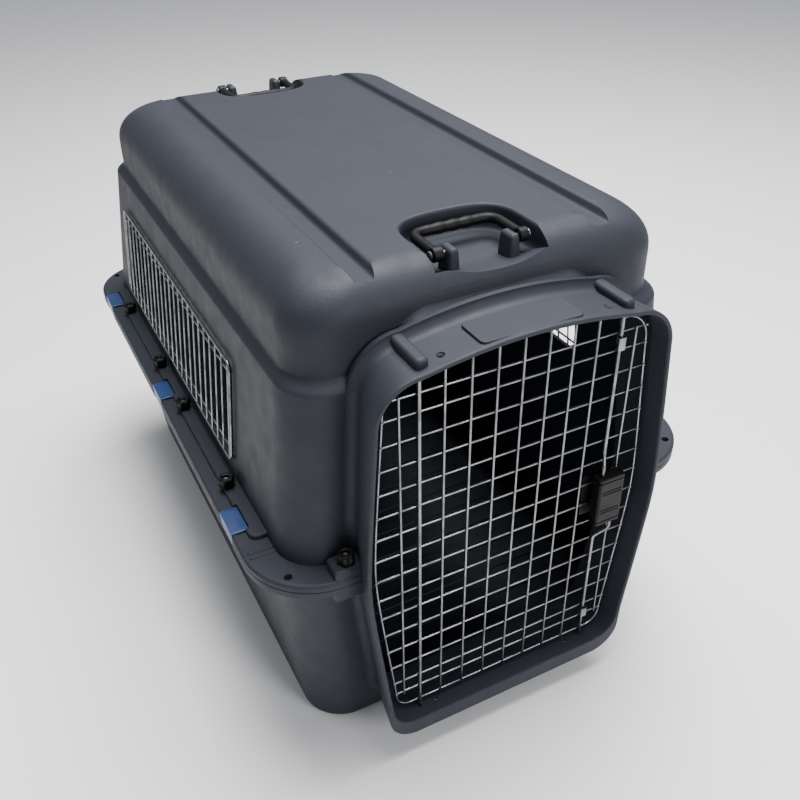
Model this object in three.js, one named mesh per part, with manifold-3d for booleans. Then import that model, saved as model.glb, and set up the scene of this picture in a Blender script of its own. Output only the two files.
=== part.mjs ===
// Large pet transport carrier: two drafted plastic shells bolted together at a flange, a welded
// wire door in a collar at the front, wire vents, and two folding carrying handles in the roof.
//
// Units are millimetres. +Z is up, the door faces -Y, +X is to the right seen from the front.
// The origin is the middle of the bounding box, on the surface that the carrier stands on.

import * as THREE from 'three';
import { mergeVertices } from 'three/addons/utils/BufferGeometryUtils.js';
import Module from 'manifold-3d';

// ---------------------------------------------------------------- driving dimensions

const GAP = 0.3; // clearance between pieces that touch
const FAR = 400; // reach of a cutter that only has to pass right through

// Overall
const LENGTH = 810; // front edge of the collar to the rear edge of the flange
const WIDTH = 516; // across the flange
const HEIGHT = 554; // floor to roof
const SEAM_Z = 267; // parting plane between the shells
const WALL = 3; // moulded wall

// Flanges that bolt together along the seam
const FLANGE_SIDE = 31; // overhang along the sides
const FLANGE_END = 27; // overhang at the front and rear
const UPPER_FLANGE = 8;
const LOWER_FLANGE = 9;
const STRIP_WIDTH = 16; // raised strip that stiffens the upper flange
const STRIP_HEIGHT = 5;
const STRIP_END = 92; // strip stops this far short of the flange ends
const CORNER_R = 46; // vertical corners of both shells

// Lower shell
const LOWER_DRAFT = 20; // each wall leans in by this much from the seam to the floor radius
const LOWER_EDGE_R = 24;

// Upper shell
const UPPER_DRAFT_SIDE = 20;
const UPPER_DRAFT_FRONT = 7;
const UPPER_DRAFT_REAR = 30; // the rear wall leans in furthest
const SHOULDER_DROP = 92; // roof down to the shoulder where the wall steps in
const SHOULDER_STEP = 9;
const SHOULDER_RISE = 6;
const ROOF_R_SIDE = 48;
const ROOF_R_FRONT = 38;
const ROOF_R_REAR = 70;
const ROOF_LEVELS = 5; // facets over each roof edge
const GROOVE_X = 123; // middle of each long roof channel
const GROOVE_WIDTH = 24;
const GROOVE_DEPTH = 8;

// Doorway and collar
const COLLAR_REACH = 23; // collar stands this far in front of the flange
const COLLAR_FLARE = 0.06; // sides widen by this share over the collar's depth
const RIM = 5; // wall of the collar
const DOORWAY_MARGIN = 62; // wall half width less doorway half width, at the seam
const DOORWAY_IN_TOP = 15; // doorway is narrower than at the seam by this much at the top
const DOORWAY_IN_SILL = 22; // and by this much at the sill
const DOORWAY_DROP = 53; // roof down to the crown of the doorway
const ARCH_RISE = 12;
const SILL_Z = 53;
const SILL_LIP = 21; // front lip hanging from the sill
const DOORWAY_TOP_R = 41;
const DOORWAY_SILL_R = 30;
const POST_WIDTH = 13; // hollow posts on the collar that receive the upper rod ends
const POST_HEIGHT = 14;
const POST_IN = 3; // post's front behind the collar's rim
const POST_CAP = 1.5; // rod hole's room above the rod
const GUIDE_T = 1.8; // staple that holds each latch rod to the door
const SPARE_HOLE_IN = 20; // spare door holes sit this far inside the rods

// Wire door
const WIRE = 2.6;
const ROD = 3.8;
const WELD = 0.4; // depth that crossing wires sink into each other
const COLUMN_PITCH = 27;
const ROW_PITCH = 26.4;
const DOOR_SETBACK = 16.3; // rod plane behind the collar's front edge
const DOOR_CLEAR = 12; // frame to the doorway's sides
const DOOR_CLEAR_Z = 9; // frame to the sill and the arch
const FIRST_ROW_DROP = 55.5; // crown to the first evenly spaced row
const TOP_ROW_GAP = 19.5;
const SILL_ROW_GAP = 17.5;
const LAST_ROW_CLEAR = 40; // evenly spaced rows stop this far above the sill
const DOOR_EDGE_COLUMN = 12; // last column inside the frame's upper corner
const ROD_IN = 19; // rods stand this far inside the last column
const ROD_CLEAR = 0.5; // rod to the wall of its hole
const ROD_BITE = 9; // rod end inside the post or the sill when latched
const ROD_FREE = 1; // rod end clear of its hole when the latch is squeezed

// Squeeze latch
const LATCH_Z = 270;
const LATCH_WIDTH = 32;
const LATCH_HEIGHT = 52;
const LATCH_DEPTH = 13.7;
const LATCH_WALL = 2.4;
const LATCH_RIB = 3;
const LATCH_OFF = 0.6; // block to the door's columns
const LATCH_IN = 5; // block's middle inside the midpoint of the rod and the last column
const PEG_R = 3;
const PEG_OFF = 7; // pegs either side of the block's middle
const PLATE = 2; // back plate behind the door's rows
const PLATE_REACH = 7; // plate runs this far past the block
const PAD_CAP = 5;
const PAD_STEM = 20;
const CRANK_OFFSET = 9; // rod ends stand this far either side of the latch's middle
const UPPER_CRANK = [22, 11]; // crank's start and end beyond the pad's cap
const LOWER_CRANK = [28, 15];
const ROD_SOCKET = 8; // rod end's depth in the pad, past its cap
const SPRING_R = 2.6;
const SPRING_WIRE = 0.9;
const SPRING_TURNS = 3.5;
const SPRING_BORE_R = 3.8;
const SPRING_BORE = 14;

// Vents
const VENT_Z = 300; // lower edge of the grille frames
const VENT_BELOW_SHOULDER = 41; // shoulder to the upper edge of the grille frames
const SIDE_VENT_FRONT = 188; // flange front edge to the grille
const SIDE_VENT_REAR = 138; // flange rear edge to the grille
const REAR_VENT_HALF = 122;
const VENT_LAP = 6; // grille frame laps the wall by this much
const VENT_PITCH = 20.2;
const VENT_RAIL_IN = 13; // inner rails stand this far inside the frame
const VENT_WIRE = 2.8;
const VENT_OFF = 0.6; // grille frame clear of the drafted wall
const VENT_END_CLEAR = 1; // inner rail ends clear of the window's sides

// Roof recesses and handles
const RECESS_HALF = 59;
const RECESS_DEPTH = 26;
const RECESS_LENGTH = 108; // from the inner end to where the end wall starts to round over
const HANDLE_SIDE_CLEAR = 8; // handle arms to the recess's side walls
const HANDLE_REACH = 50; // pivot to the middle of the grip
const HANDLE_R = 6;
const HANDLE_EYE_R = 7;
const HANDLE_EYE_HALF = 5; // half the length of each pivot eye
const HANDLE_BEND = 10;
const PIVOT_DROP = 8; // pivot below the roof
const PIVOT_IN = 33; // pivot behind the recess's outer end
const PIVOT_BOSS = 11;
const BOSS_CLEAR = 3; // from the inner side of the arm to the pivot boss, less half the arm
const BOSS_HALF_Y = 12;
const PIN_R = 2.5;

// Fasteners
const BOLT_R = 3;
const BOLT_HEAD_R = 6;
const BOLT_HEAD = 3.5;
const NUT_R = 9;
const NUT_HEIGHT = 12;
const NUT_WAIST = 0.82; // radius between the lobes, as a share
const FASTENER_SHIFT = 6.5; // middle of the side pattern behind the middle of the body
const NUT_OFFSETS = [-219, -54, 54, 219];
const CLIP_OFFSETS = [-272, 0, 272];
const BOLT_INSET = 20; // bolts stand this far inside the flange's edge
const BOSS_WIDTH = 31; // raised bosses beside the collar and their rear partners
const BOSS_HEIGHT = 10;
const BOSS_OFF = 5; // corner bolts outside the collar's wall
const BORE_CLEAR = 0.7; // bolt to its hole, all round
const PIN_CLEAR = 0.6; // pins to their holes, all round
const SOCKET_CLEAR = 0.5; // rods and pegs to theirs
const THREAD_SHORT = 2; // bolt ends below the nut's top

// Rim clips
const CLIP_LENGTH = 39;
const CLIP_TAB = 12;
const CLIP_T = 2.5;
const CLIP_BARREL_R = 3;
const CLIP_PIN_R = 1.5;
const CLIP_PIN = 3;
const CLIP_OFF = 0.6; // barrel to the notch's inner wall

// ---------------------------------------------------------------- derived places

const bodyMid = COLLAR_REACH / 2;
const flangeX = WIDTH / 2;
const flangeY = (LENGTH - COLLAR_REACH) / 2;
const wallX = flangeX - FLANGE_SIDE;
const wallY = flangeY - FLANGE_END;
const collarFront = -LENGTH / 2;
const collarDepth = COLLAR_REACH + FLANGE_END;
const upperZ = SEAM_Z + GAP / 2;
const lowerZ = SEAM_Z - GAP / 2;
const flangeTop = upperZ + UPPER_FLANGE;
const flangeBottom = lowerZ - LOWER_FLANGE;
const shoulderZ = HEIGHT - SHOULDER_DROP;
const ventHeight = shoulderZ - VENT_BELOW_SHOULDER - VENT_Z;
const stripX = wallX + STRIP_WIDTH;
const patternMid = bodyMid + FASTENER_SHIFT;

const doorwaySeam = wallX - DOORWAY_MARGIN;
const doorwayTop = doorwaySeam - DOORWAY_IN_TOP;
const doorwaySill = doorwaySeam - DOORWAY_IN_SILL;
const crownZ = HEIGHT - DOORWAY_DROP;
const cornerX = doorwayTop - DOORWAY_TOP_R;

const rodY = collarFront + DOOR_SETBACK;
const rowY = rodY + ROD / 2 + GAP + WIRE / 2;
const columnY = rowY - WIRE + WELD;
const frameTop = doorwayTop - DOOR_CLEAR;
const lastColumn = frameTop - DOOR_EDGE_COLUMN;
const rodX = lastColumn - ROD_IN;
const frameBottomZ = SILL_Z + DOOR_CLEAR_Z;
const frameCrownZ = crownZ - DOOR_CLEAR_Z;
const archAt = (x) => crownZ - ARCH_RISE * (Math.min(Math.abs(x), cornerX) / cornerX) ** 2;

const latchX = (rodX + lastColumn) / 2 - LATCH_IN;
const latchBack = columnY - WIRE / 2 - LATCH_OFF;
const latchFront = latchBack - LATCH_DEPTH;
const latchMidY = latchFront + LATCH_DEPTH / 2;
const latchTop = LATCH_Z + LATCH_HEIGHT / 2;
const latchBottom = LATCH_Z - LATCH_HEIGHT / 2;

// ---------------------------------------------------------------- materials

const finish = (color, roughness, metalness) =>
  new THREE.MeshStandardMaterial({ color, roughness, metalness });
const shellGrey = finish(0x4d505b, 0.62, 0);
const chrome = finish(0xc9ccd0, 0.22, 1);
const blackNylon = finish(0x15161a, 0.45, 0);
const clipBlue = finish(0x2f568f, 0.4, 0);
const zinc = finish(0x9a9da2, 0.35, 1);

// ---------------------------------------------------------------- solids and placing

const wasm = await Module();
wasm.setup();

/** A closed three.js geometry as a solid that can be joined and cut. */
function solid(geometry) {
  const bare = geometry.index ? geometry.toNonIndexed() : geometry.clone();
  bare.deleteAttribute('normal');
  bare.deleteAttribute('uv');
  const merged = mergeVertices(bare, 1e-4);
  return new wasm.Manifold(new wasm.Mesh({
    numProp: 3,
    vertProperties: new Float32Array(merged.attributes.position.array),
    triVerts: new Uint32Array(merged.index.array),
  }));
}

/** A solid back as a flat-shaded three.js geometry. */
function geometryOf(body) {
  const mesh = body.getMesh();
  const geometry = new THREE.BufferGeometry();
  geometry.setAttribute('position', new THREE.BufferAttribute(mesh.vertProperties, mesh.numProp));
  geometry.setIndex(new THREE.BufferAttribute(mesh.triVerts, 1));
  const flat = geometry.toNonIndexed();
  flat.computeVertexNormals();
  return flat;
}

const join = (parts) => parts.reduce((whole, part) => whole.add(part));
const cut = (whole, tools) => tools.reduce((rest, tool) => rest.subtract(tool), whole);

/** Box between two corners. */
function box(x0, x1, y0, y1, z0, z1) {
  const geometry = new THREE.BoxGeometry(x1 - x0, y1 - y0, z1 - z0);
  return solid(geometry.translate((x0 + x1) / 2, (y0 + y1) / 2, (z0 + z1) / 2));
}

/** Round bar of one radius from one point to another. */
function bar(radius, from, to, sides = 8) {
  const start = new THREE.Vector3(...from);
  const end = new THREE.Vector3(...to);
  const axis = end.clone().sub(start);
  const geometry = new THREE.CylinderGeometry(radius, radius, axis.length(), sides);
  const turn = new THREE.Quaternion().setFromUnitVectors(
    new THREE.Vector3(0, 1, 0), axis.clone().normalize());
  geometry.applyQuaternion(turn);
  const middle = start.add(end).multiplyScalar(0.5);
  return solid(geometry.translate(middle.x, middle.y, middle.z));
}

/** Square bar between two points that differ along one axis. */
function squareBar(width, from, to) {
  const low = from.map((value, k) => Math.min(value, to[k]) - (value === to[k] ? width / 2 : 0));
  const high = from.map((value, k) => Math.max(value, to[k]) + (value === to[k] ? width / 2 : 0));
  return box(low[0], high[0], low[1], high[1], low[2], high[2]);
}

/** Shape in X and Z, extruded from y0 to y1. */
function alongY(shape, y0, y1, curveSegments = 4) {
  const geometry = new THREE.ExtrudeGeometry(shape, {
    depth: y1 - y0, bevelEnabled: false, curveSegments,
  });
  return geometry.rotateX(Math.PI / 2).translate(0, y1, 0);
}

/** Rounded rectangle about the origin. */
function roundedRectangle(halfX, halfY, radius) {
  const shape = new THREE.Shape();
  shape.moveTo(halfX, -halfY + radius);
  shape.lineTo(halfX, halfY - radius);
  shape.absarc(halfX - radius, halfY - radius, radius, 0, Math.PI / 2);
  shape.lineTo(-halfX + radius, halfY);
  shape.absarc(-halfX + radius, halfY - radius, radius, Math.PI / 2, Math.PI);
  shape.lineTo(-halfX, -halfY + radius);
  shape.absarc(-halfX + radius, -halfY + radius, radius, Math.PI, Math.PI * 1.5);
  shape.lineTo(halfX - radius, -halfY);
  shape.absarc(halfX - radius, -halfY + radius, radius, Math.PI * 1.5, Math.PI * 2);
  return shape;
}

/**
 * Drafted block: the plan outline is carried through levels of { z, inX, inY }, each of which
 * draws the four sides in towards the middle and keeps the corner radius.
 */
function draftedBlock(halfX, halfY, radius, levels) {
  const geometry = new THREE.ExtrudeGeometry(roundedRectangle(halfX, halfY, radius), {
    depth: levels.length - 1, steps: levels.length - 1, bevelEnabled: false, curveSegments: 4,
  });
  const place = geometry.attributes.position;
  for (let i = 0; i < place.count; i += 1) {
    const level = levels[Math.round(place.getZ(i))];
    const y = place.getY(i);
    place.setXYZ(
      i,
      place.getX(i) - Math.sign(place.getX(i)) * level.inX,
      y > 0 ? y - (level.inRear ?? level.inY) : y + level.inY,
      level.z,
    );
  }
  return solid(geometry.translate(0, bodyMid, 0));
}

/** Flat plate with the flange's plan. */
function flangePlate(z0, z1) {
  const radius = CORNER_R + FLANGE_SIDE;
  const levels = [{ z: z0, inX: 0, inY: 0 }, { z: z1, inX: 0, inY: 0 }];
  return draftedBlock(flangeX, flangeY, radius, levels);
}

const carrier = new THREE.Group();

/** Adds one named piece to a parent, from a solid or a geometry. */
function piece(name, shape, material, parent = carrier) {
  const geometry = shape.isBufferGeometry ? shape : geometryOf(shape);
  const mesh = new THREE.Mesh(geometry, material);
  mesh.name = name;
  parent.add(mesh);
  return mesh;
}

// ---------------------------------------------------------------- doorway outline

/** Outline of the doorway in X and Z, grown outwards by a margin. */
function doorwayOutline(grow, sillDrop = grow) {
  const seam = doorwaySeam + grow;
  const top = doorwayTop + grow;
  const sill = doorwaySill + grow;
  const topR = DOORWAY_TOP_R + grow;
  const sillR = DOORWAY_SILL_R + grow;
  const shoulder = crownZ - ARCH_RISE + grow;
  const floor = SILL_Z - sillDrop;
  const arch = [];
  const steps = 6;
  for (let k = 0; k <= steps; k += 1) {
    const x = cornerX * (1 - (2 * k) / steps);
    arch.push(new THREE.Vector2(x, archAt(x) + grow));
  }
  const shape = new THREE.Shape();
  shape.moveTo(sill, floor + sillR);
  shape.lineTo(seam, SEAM_Z);
  shape.lineTo(top, shoulder - topR);
  shape.absarc(top - topR, shoulder - topR, topR, 0, Math.PI / 2);
  arch.slice(1).forEach((point) => shape.lineTo(point.x, point.y));
  shape.absarc(-top + topR, shoulder - topR, topR, Math.PI / 2, Math.PI);
  shape.lineTo(-seam, SEAM_Z);
  shape.lineTo(-sill, floor + sillR);
  shape.absarc(-sill + sillR, floor + sillR, sillR, Math.PI, Math.PI * 1.5);
  shape.absarc(sill - sillR, floor + sillR, sillR, Math.PI * 1.5, Math.PI * 2);
  return shape;
}

/** Doorway outline as a solid whose sides close in towards the rear, as the collar's do. */
function flaredPrism(outline, y0, y1) {
  const geometry = alongY(outline, y0, y1);
  const place = geometry.attributes.position;
  for (let i = 0; i < place.count; i += 1) {
    const back = (place.getY(i) - collarFront) / collarDepth;
    place.setX(i, place.getX(i) * (1 - COLLAR_FLARE * back));
  }
  return solid(geometry);
}

const collarBack = -wallY + bodyMid + UPPER_DRAFT_FRONT + LOWER_DRAFT + LOWER_EDGE_R;
const collarBody = flaredPrism(doorwayOutline(RIM, SILL_LIP), collarFront, collarBack);
const doorway = flaredPrism(doorwayOutline(0), collarFront - 1, collarBack + 1);
const sillHollow = box(
  -doorwaySill + DOORWAY_SILL_R, doorwaySill - DOORWAY_SILL_R,
  collarFront + RIM, collarBack + 1,
  SILL_Z - SILL_LIP - 1, SILL_Z - RIM,
);

const rodHoleR = ROD / 2 + ROD_CLEAR;
const rodHoles = [-rodX, rodX].map((x) => bar(
  rodHoleR, [x, rodY, SILL_Z - SILL_LIP], [x, rodY, archAt(x) + ROD_BITE + POST_CAP]));
const spareHoles = [-1, 1].map((side) => bar(
  rodHoleR,
  [side * (rodX - SPARE_HOLE_IN), rodY, SILL_Z - SILL_LIP],
  [side * (rodX - SPARE_HOLE_IN), rodY, HEIGHT - DOORWAY_DROP + RIM + 2],
));

// ---------------------------------------------------------------- fastener places

const bolts = [];
for (const [sideName, side] of [['left', -1], ['right', 1]]) {
  NUT_OFFSETS.forEach((offset, k) => bolts.push({
    name: `${sideName}_${k + 1}`,
    x: side * (flangeX - BOLT_INSET),
    y: patternMid + offset,
    seat: flangeTop + STRIP_HEIGHT,
  }));
  const bossX = doorwaySeam + RIM + BOSS_OFF;
  const endY = wallY + FLANGE_END / 2;
  for (const [endName, end] of [['front', -1], ['rear', 1]]) {
    bolts.push({
      name: `${sideName}_${endName}`,
      x: side * bossX,
      y: bodyMid + end * endY,
      seat: flangeTop + BOSS_HEIGHT,
    });
  }
}
const boltHoles = bolts.map(({ x, y, seat }) => bar(
  BOLT_R + BORE_CLEAR, [x, y, flangeBottom - 1], [x, y, seat + 1], 6));

const clips = [];
for (const [sideName, side] of [['left', -1], ['right', 1]]) {
  CLIP_OFFSETS.forEach((offset, k) => clips.push({
    name: `${sideName}_${['front', 'middle', 'rear'][k]}`,
    side,
    y: patternMid + offset,
  }));
}
const clipPivotX = flangeX - CLIP_BARREL_R - GAP;
const clipPivotZ = (flangeBottom + lowerZ) / 2;
const notchDepth = 2 * CLIP_BARREL_R + 2 * GAP + CLIP_OFF;
const notchHalf = CLIP_LENGTH / 2 + GAP;
const clipNotches = clips.map(({ side, y }) => {
  const inner = side * (flangeX - notchDepth);
  const outer = side * (flangeX + 1);
  return box(
    Math.min(inner, outer), Math.max(inner, outer),
    y - notchHalf, y + notchHalf, flangeBottom - 1, flangeTop + STRIP_HEIGHT + 1,
  );
});
const clipSeats = clips.map(({ side, y }) => {
  const inner = side * (flangeX - notchDepth - CLIP_TAB - GAP);
  const outer = side * (flangeX + 1);
  return box(
    Math.min(inner, outer), Math.max(inner, outer),
    y - notchHalf, y + notchHalf, flangeTop, flangeTop + STRIP_HEIGHT + 1,
  );
});
const clipPinHoles = clips.map(({ side, y }) => bar(
  CLIP_PIN_R + PIN_CLEAR,
  [side * clipPivotX, y - notchHalf - CLIP_PIN - 1, clipPivotZ],
  [side * clipPivotX, y + notchHalf + CLIP_PIN + 1, clipPivotZ],
  6,
));

// ---------------------------------------------------------------- lower shell

/** Levels of the lower shell, drawn in by a wall for its inside. */
function lowerLevels(wall) {
  const levels = [];
  const radius = LOWER_EDGE_R - wall;
  for (let k = 0; k <= 3; k += 1) {
    const angle = (Math.PI / 2) * (1 - k / 3);
    const inset = wall + LOWER_DRAFT + radius * (1 - Math.cos(angle));
    levels.push({ z: wall + radius * (1 - Math.sin(angle)), inX: inset, inY: inset });
  }
  levels.push({ z: lowerZ, inX: wall, inY: wall });
  return levels;
}

const lowerInner = lowerLevels(WALL);
lowerInner.push({ z: lowerZ + WALL, inX: WALL, inY: WALL });
const lowerCavity = draftedBlock(wallX, wallY, CORNER_R, lowerInner);
const belowSeam = box(-FAR, FAR, -LENGTH, LENGTH, -1, lowerZ);
const lowerShell = cut(
  join([
    draftedBlock(wallX, wallY, CORNER_R, lowerLevels(0)),
    flangePlate(flangeBottom, lowerZ),
    collarBody.intersect(belowSeam),
  ]),
  [lowerCavity, doorway, sillHollow, ...rodHoles, ...spareHoles, ...boltHoles, ...clipNotches,
    ...clipPinHoles],
);
piece('bottom_shell', lowerShell, shellGrey);

// ---------------------------------------------------------------- upper shell

/** Inset of a wall that has rounded over into the roof, at one height. */
function roofInset(z, top, radius) {
  const rise = Math.max(0, z - (top - radius));
  return radius - Math.sqrt(Math.max(0, radius * radius - rise * rise));
}

/** Levels of the upper shell, drawn in by a wall for its inside. */
function upperLevels(wall) {
  const top = HEIGHT - wall;
  const level = (z, step, rounding) => ({
    z,
    inX: wall + UPPER_DRAFT_SIDE + step + rounding(ROOF_R_SIDE),
    inY: wall + UPPER_DRAFT_FRONT + step + rounding(ROOF_R_FRONT),
    inRear: wall + UPPER_DRAFT_REAR + step + rounding(ROOF_R_REAR),
  });
  const plain = () => 0;
  const levels = [
    { z: upperZ, inX: wall, inY: wall },
    level(shoulderZ - wall, 0, plain),
    level(shoulderZ - wall + SHOULDER_RISE, SHOULDER_STEP, plain),
  ];
  for (let k = 0; k <= ROOF_LEVELS; k += 1) {
    const climb = Math.sin((Math.PI / 2) * (k / ROOF_LEVELS));
    const z = top - (ROOF_R_REAR - wall) * (1 - climb);
    levels.push(level(z, SHOULDER_STEP, (radius) => roofInset(z, top, radius - wall)));
  }
  return levels;
}

/** Roof channels, grown by a wall for the matching inside face. */
function roofChannels(wall) {
  return [-1, 1].map((side) => box(
    side * GROOVE_X - GROOVE_WIDTH / 2 - wall, side * GROOVE_X + GROOVE_WIDTH / 2 + wall,
    -LENGTH, LENGTH,
    HEIGHT - GROOVE_DEPTH - wall, HEIGHT + 10,
  ));
}

/** End wall of the roof from the body's middle, before it rounds over. */
function roofEnd(end) {
  return wallY - (end < 0 ? UPPER_DRAFT_FRONT : UPPER_DRAFT_REAR) - SHOULDER_STEP;
}

/** Handle recesses at both ends of the roof, grown by a wall for the matching inside face. */
function roofRecesses(wall) {
  return [-1, 1].map((end) => {
    const near = bodyMid + end * (roofEnd(end) - RECESS_LENGTH - wall);
    const far = bodyMid + end * (roofEnd(end) + 10);
    return box(
      -RECESS_HALF - wall, RECESS_HALF + wall,
      Math.min(near, far), Math.max(near, far),
      HEIGHT - RECESS_DEPTH - wall, HEIGHT + 10,
    );
  });
}

const pivotY = (end) => bodyMid + end * (roofEnd(end) - PIVOT_IN);
const pivotZ = HEIGHT - PIVOT_DROP;
const handleHalf = RECESS_HALF - HANDLE_SIDE_CLEAR - HANDLE_R;
const bossOuter = handleHalf - HANDLE_R / 2 - BOSS_CLEAR;
const handleBosses = [];
const handlePinHoles = [];
for (const end of [-1, 1]) {
  for (const side of [-1, 1]) {
    const x0 = side * (bossOuter - PIVOT_BOSS);
    const x1 = side * bossOuter;
    const y = pivotY(end);
    handleBosses.push(box(
      Math.min(x0, x1), Math.max(x0, x1), y - BOSS_HALF_Y, y + BOSS_HALF_Y,
      HEIGHT - RECESS_DEPTH - WALL / 2, pivotZ + HANDLE_EYE_R - 1,
    ));
    handlePinHoles.push(bar(PIN_R + PIN_CLEAR, [x0 - side, y, pivotZ], [x1 + side, y, pivotZ]));
  }
}

const upperInner = upperLevels(WALL);
upperInner.unshift({ z: upperZ - WALL, inX: WALL, inY: WALL });
const upperCavity = cut(
  draftedBlock(wallX, wallY, CORNER_R, upperInner),
  [...roofChannels(WALL), ...roofRecesses(WALL)],
);

const sideVentY0 = bodyMid - flangeY + SIDE_VENT_FRONT;
const sideVentY1 = bodyMid + flangeY - SIDE_VENT_REAR;
const windowZ0 = VENT_Z + VENT_LAP;
const windowZ1 = VENT_Z + ventHeight - VENT_LAP;
const sideWindows = box(-FAR, FAR, sideVentY0 + VENT_LAP, sideVentY1 - VENT_LAP, windowZ0, windowZ1);
const rearWindow = box(
  -REAR_VENT_HALF + VENT_LAP, REAR_VENT_HALF - VENT_LAP, bodyMid + wallY / 2, LENGTH,
  windowZ0, windowZ1,
);

const posts = [-rodX, rodX].map((x) => box(
  x - POST_WIDTH / 2, x + POST_WIDTH / 2,
  collarFront + RIM + POST_IN, bodyMid - wallY + UPPER_DRAFT_FRONT + WALL,
  archAt(x) + 1, archAt(x) + POST_HEIGHT,
));
const strips = [-1, 1].map((side) => {
  const inner = side * (wallX - UPPER_DRAFT_SIDE);
  const outer = side * stripX;
  return box(
    Math.min(inner, outer), Math.max(inner, outer),
    bodyMid - flangeY + STRIP_END, bodyMid + flangeY - STRIP_END,
    upperZ, flangeTop + STRIP_HEIGHT,
  );
});
const bosses = bolts.filter(({ seat }) => seat > flangeTop + STRIP_HEIGHT).map(({ x, y, seat }) => {
  const end = Math.sign(y - bodyMid);
  const outer = bodyMid + end * (flangeY - 1);
  const inner = bodyMid + end * (wallY - WALL);
  return box(
    x - BOSS_WIDTH / 2, x + BOSS_WIDTH / 2, Math.min(inner, outer), Math.max(inner, outer),
    upperZ, seat,
  );
});
const aboveSeam = box(-FAR, FAR, -LENGTH, LENGTH, upperZ, HEIGHT);

const upperOutside = cut(
  join([
    draftedBlock(wallX, wallY, CORNER_R, upperLevels(0)),
    flangePlate(upperZ, flangeTop),
    collarBody.intersect(aboveSeam),
    ...posts, ...strips, ...bosses,
  ]),
  [...roofChannels(0), ...roofRecesses(0)],
);
const upperShell = cut(
  join([upperOutside, ...handleBosses]),
  [upperCavity, doorway, sideWindows, rearWindow, ...rodHoles, ...spareHoles, ...boltHoles,
    ...clipNotches, ...clipSeats, ...handlePinHoles],
);
piece('top_shell', upperShell, shellGrey);

// ---------------------------------------------------------------- wire vents

/** Flat wire grille in X and Y about its own middle, one wire thick in Z. */
function ventGrille(length, height) {
  const halfL = length / 2 - VENT_WIRE / 2;
  const halfH = height / 2 - VENT_WIRE / 2;
  const wires = [];
  for (const side of [-1, 1]) {
    const rail = side * (halfH - VENT_RAIL_IN);
    const corner = halfL + VENT_WIRE / 2;
    const inside = length / 2 - VENT_LAP - VENT_END_CLEAR;
    wires.push(squareBar(VENT_WIRE, [-corner, side * halfH, 0], [corner, side * halfH, 0]));
    wires.push(squareBar(VENT_WIRE, [side * halfL, -halfH, 0], [side * halfL, halfH, 0]));
    wires.push(squareBar(VENT_WIRE, [-inside, rail, WIRE - WELD], [inside, rail, WIRE - WELD]));
  }
  const gaps = Math.floor((length - 2 * VENT_LAP) / VENT_PITCH);
  for (let k = 0; k <= gaps; k += 1) {
    const x = (k - gaps / 2) * VENT_PITCH;
    wires.push(squareBar(WIRE, [x, -halfH, 0], [x, halfH, 0]));
  }
  return join(wires);
}

// The side walls lean in, so their grilles are turned back by the same angle.
const sideLean = Math.atan2(UPPER_DRAFT_SIDE, shoulderZ - SEAM_Z);
const rearLean = Math.atan2(UPPER_DRAFT_REAR, shoulderZ - SEAM_Z);
const ventMidZ = VENT_Z + ventHeight / 2;
const standOff = VENT_WIRE / 2 + VENT_OFF;

for (const [sideName, side] of [['left', -1], ['right', 1]]) {
  const mount = new THREE.Group();
  const face = wallX - (ventMidZ - upperZ) * Math.tan(sideLean);
  mount.position.set(side * face, (sideVentY0 + sideVentY1) / 2, ventMidZ);
  mount.rotation.set(0, -side * sideLean, 0);
  const grille = piece(
    `${sideName}_vent_grille`, ventGrille(sideVentY1 - sideVentY0, ventHeight), chrome, mount);
  // Local X runs along the carrier, local Y up the wall and local Z into it.
  const frame = new THREE.Matrix4().makeBasis(
    new THREE.Vector3(0, side, 0), new THREE.Vector3(0, 0, 1), new THREE.Vector3(side, 0, 0));
  grille.applyMatrix4(frame);
  grille.position.set(side * standOff, 0, 0);
  carrier.add(mount);
}

const rearMount = new THREE.Group();
const rearFace = bodyMid + wallY - (ventMidZ - upperZ) * Math.tan(rearLean);
rearMount.position.set(0, rearFace, ventMidZ);
rearMount.rotation.set(rearLean, 0, 0);
const rearGrille = piece(
  'rear_vent_grille', ventGrille(2 * REAR_VENT_HALF, ventHeight), chrome, rearMount);
rearGrille.rotation.set(Math.PI / 2, 0, 0);
rearGrille.position.set(0, standOff, 0);
carrier.add(rearMount);

// ---------------------------------------------------------------- wire door

/** Half width of the door's frame at one height. */
function frameHalf(z) {
  const above = (z - SEAM_Z) / (crownZ - ARCH_RISE - DOORWAY_TOP_R - SEAM_Z);
  const below = (SEAM_Z - z) / (SEAM_Z - SILL_Z - DOORWAY_SILL_R);
  const inwards = z > SEAM_Z ? above * DOORWAY_IN_TOP : below * DOORWAY_IN_SILL;
  return doorwaySeam - DOOR_CLEAR - inwards;
}

const rows = [];
for (let z = crownZ - FIRST_ROW_DROP; z > SILL_Z + LAST_ROW_CLEAR; z -= ROW_PITCH) rows.push(z);
rows.unshift(rows[0] + TOP_ROW_GAP);
rows.push(rows[rows.length - 1] - SILL_ROW_GAP);

const columns = [-lastColumn, lastColumn];
for (let x = 0; x < rodX - COLUMN_PITCH / 2; x += COLUMN_PITCH) {
  columns.push(x);
  if (x > 0) columns.push(-x);
}

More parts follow.
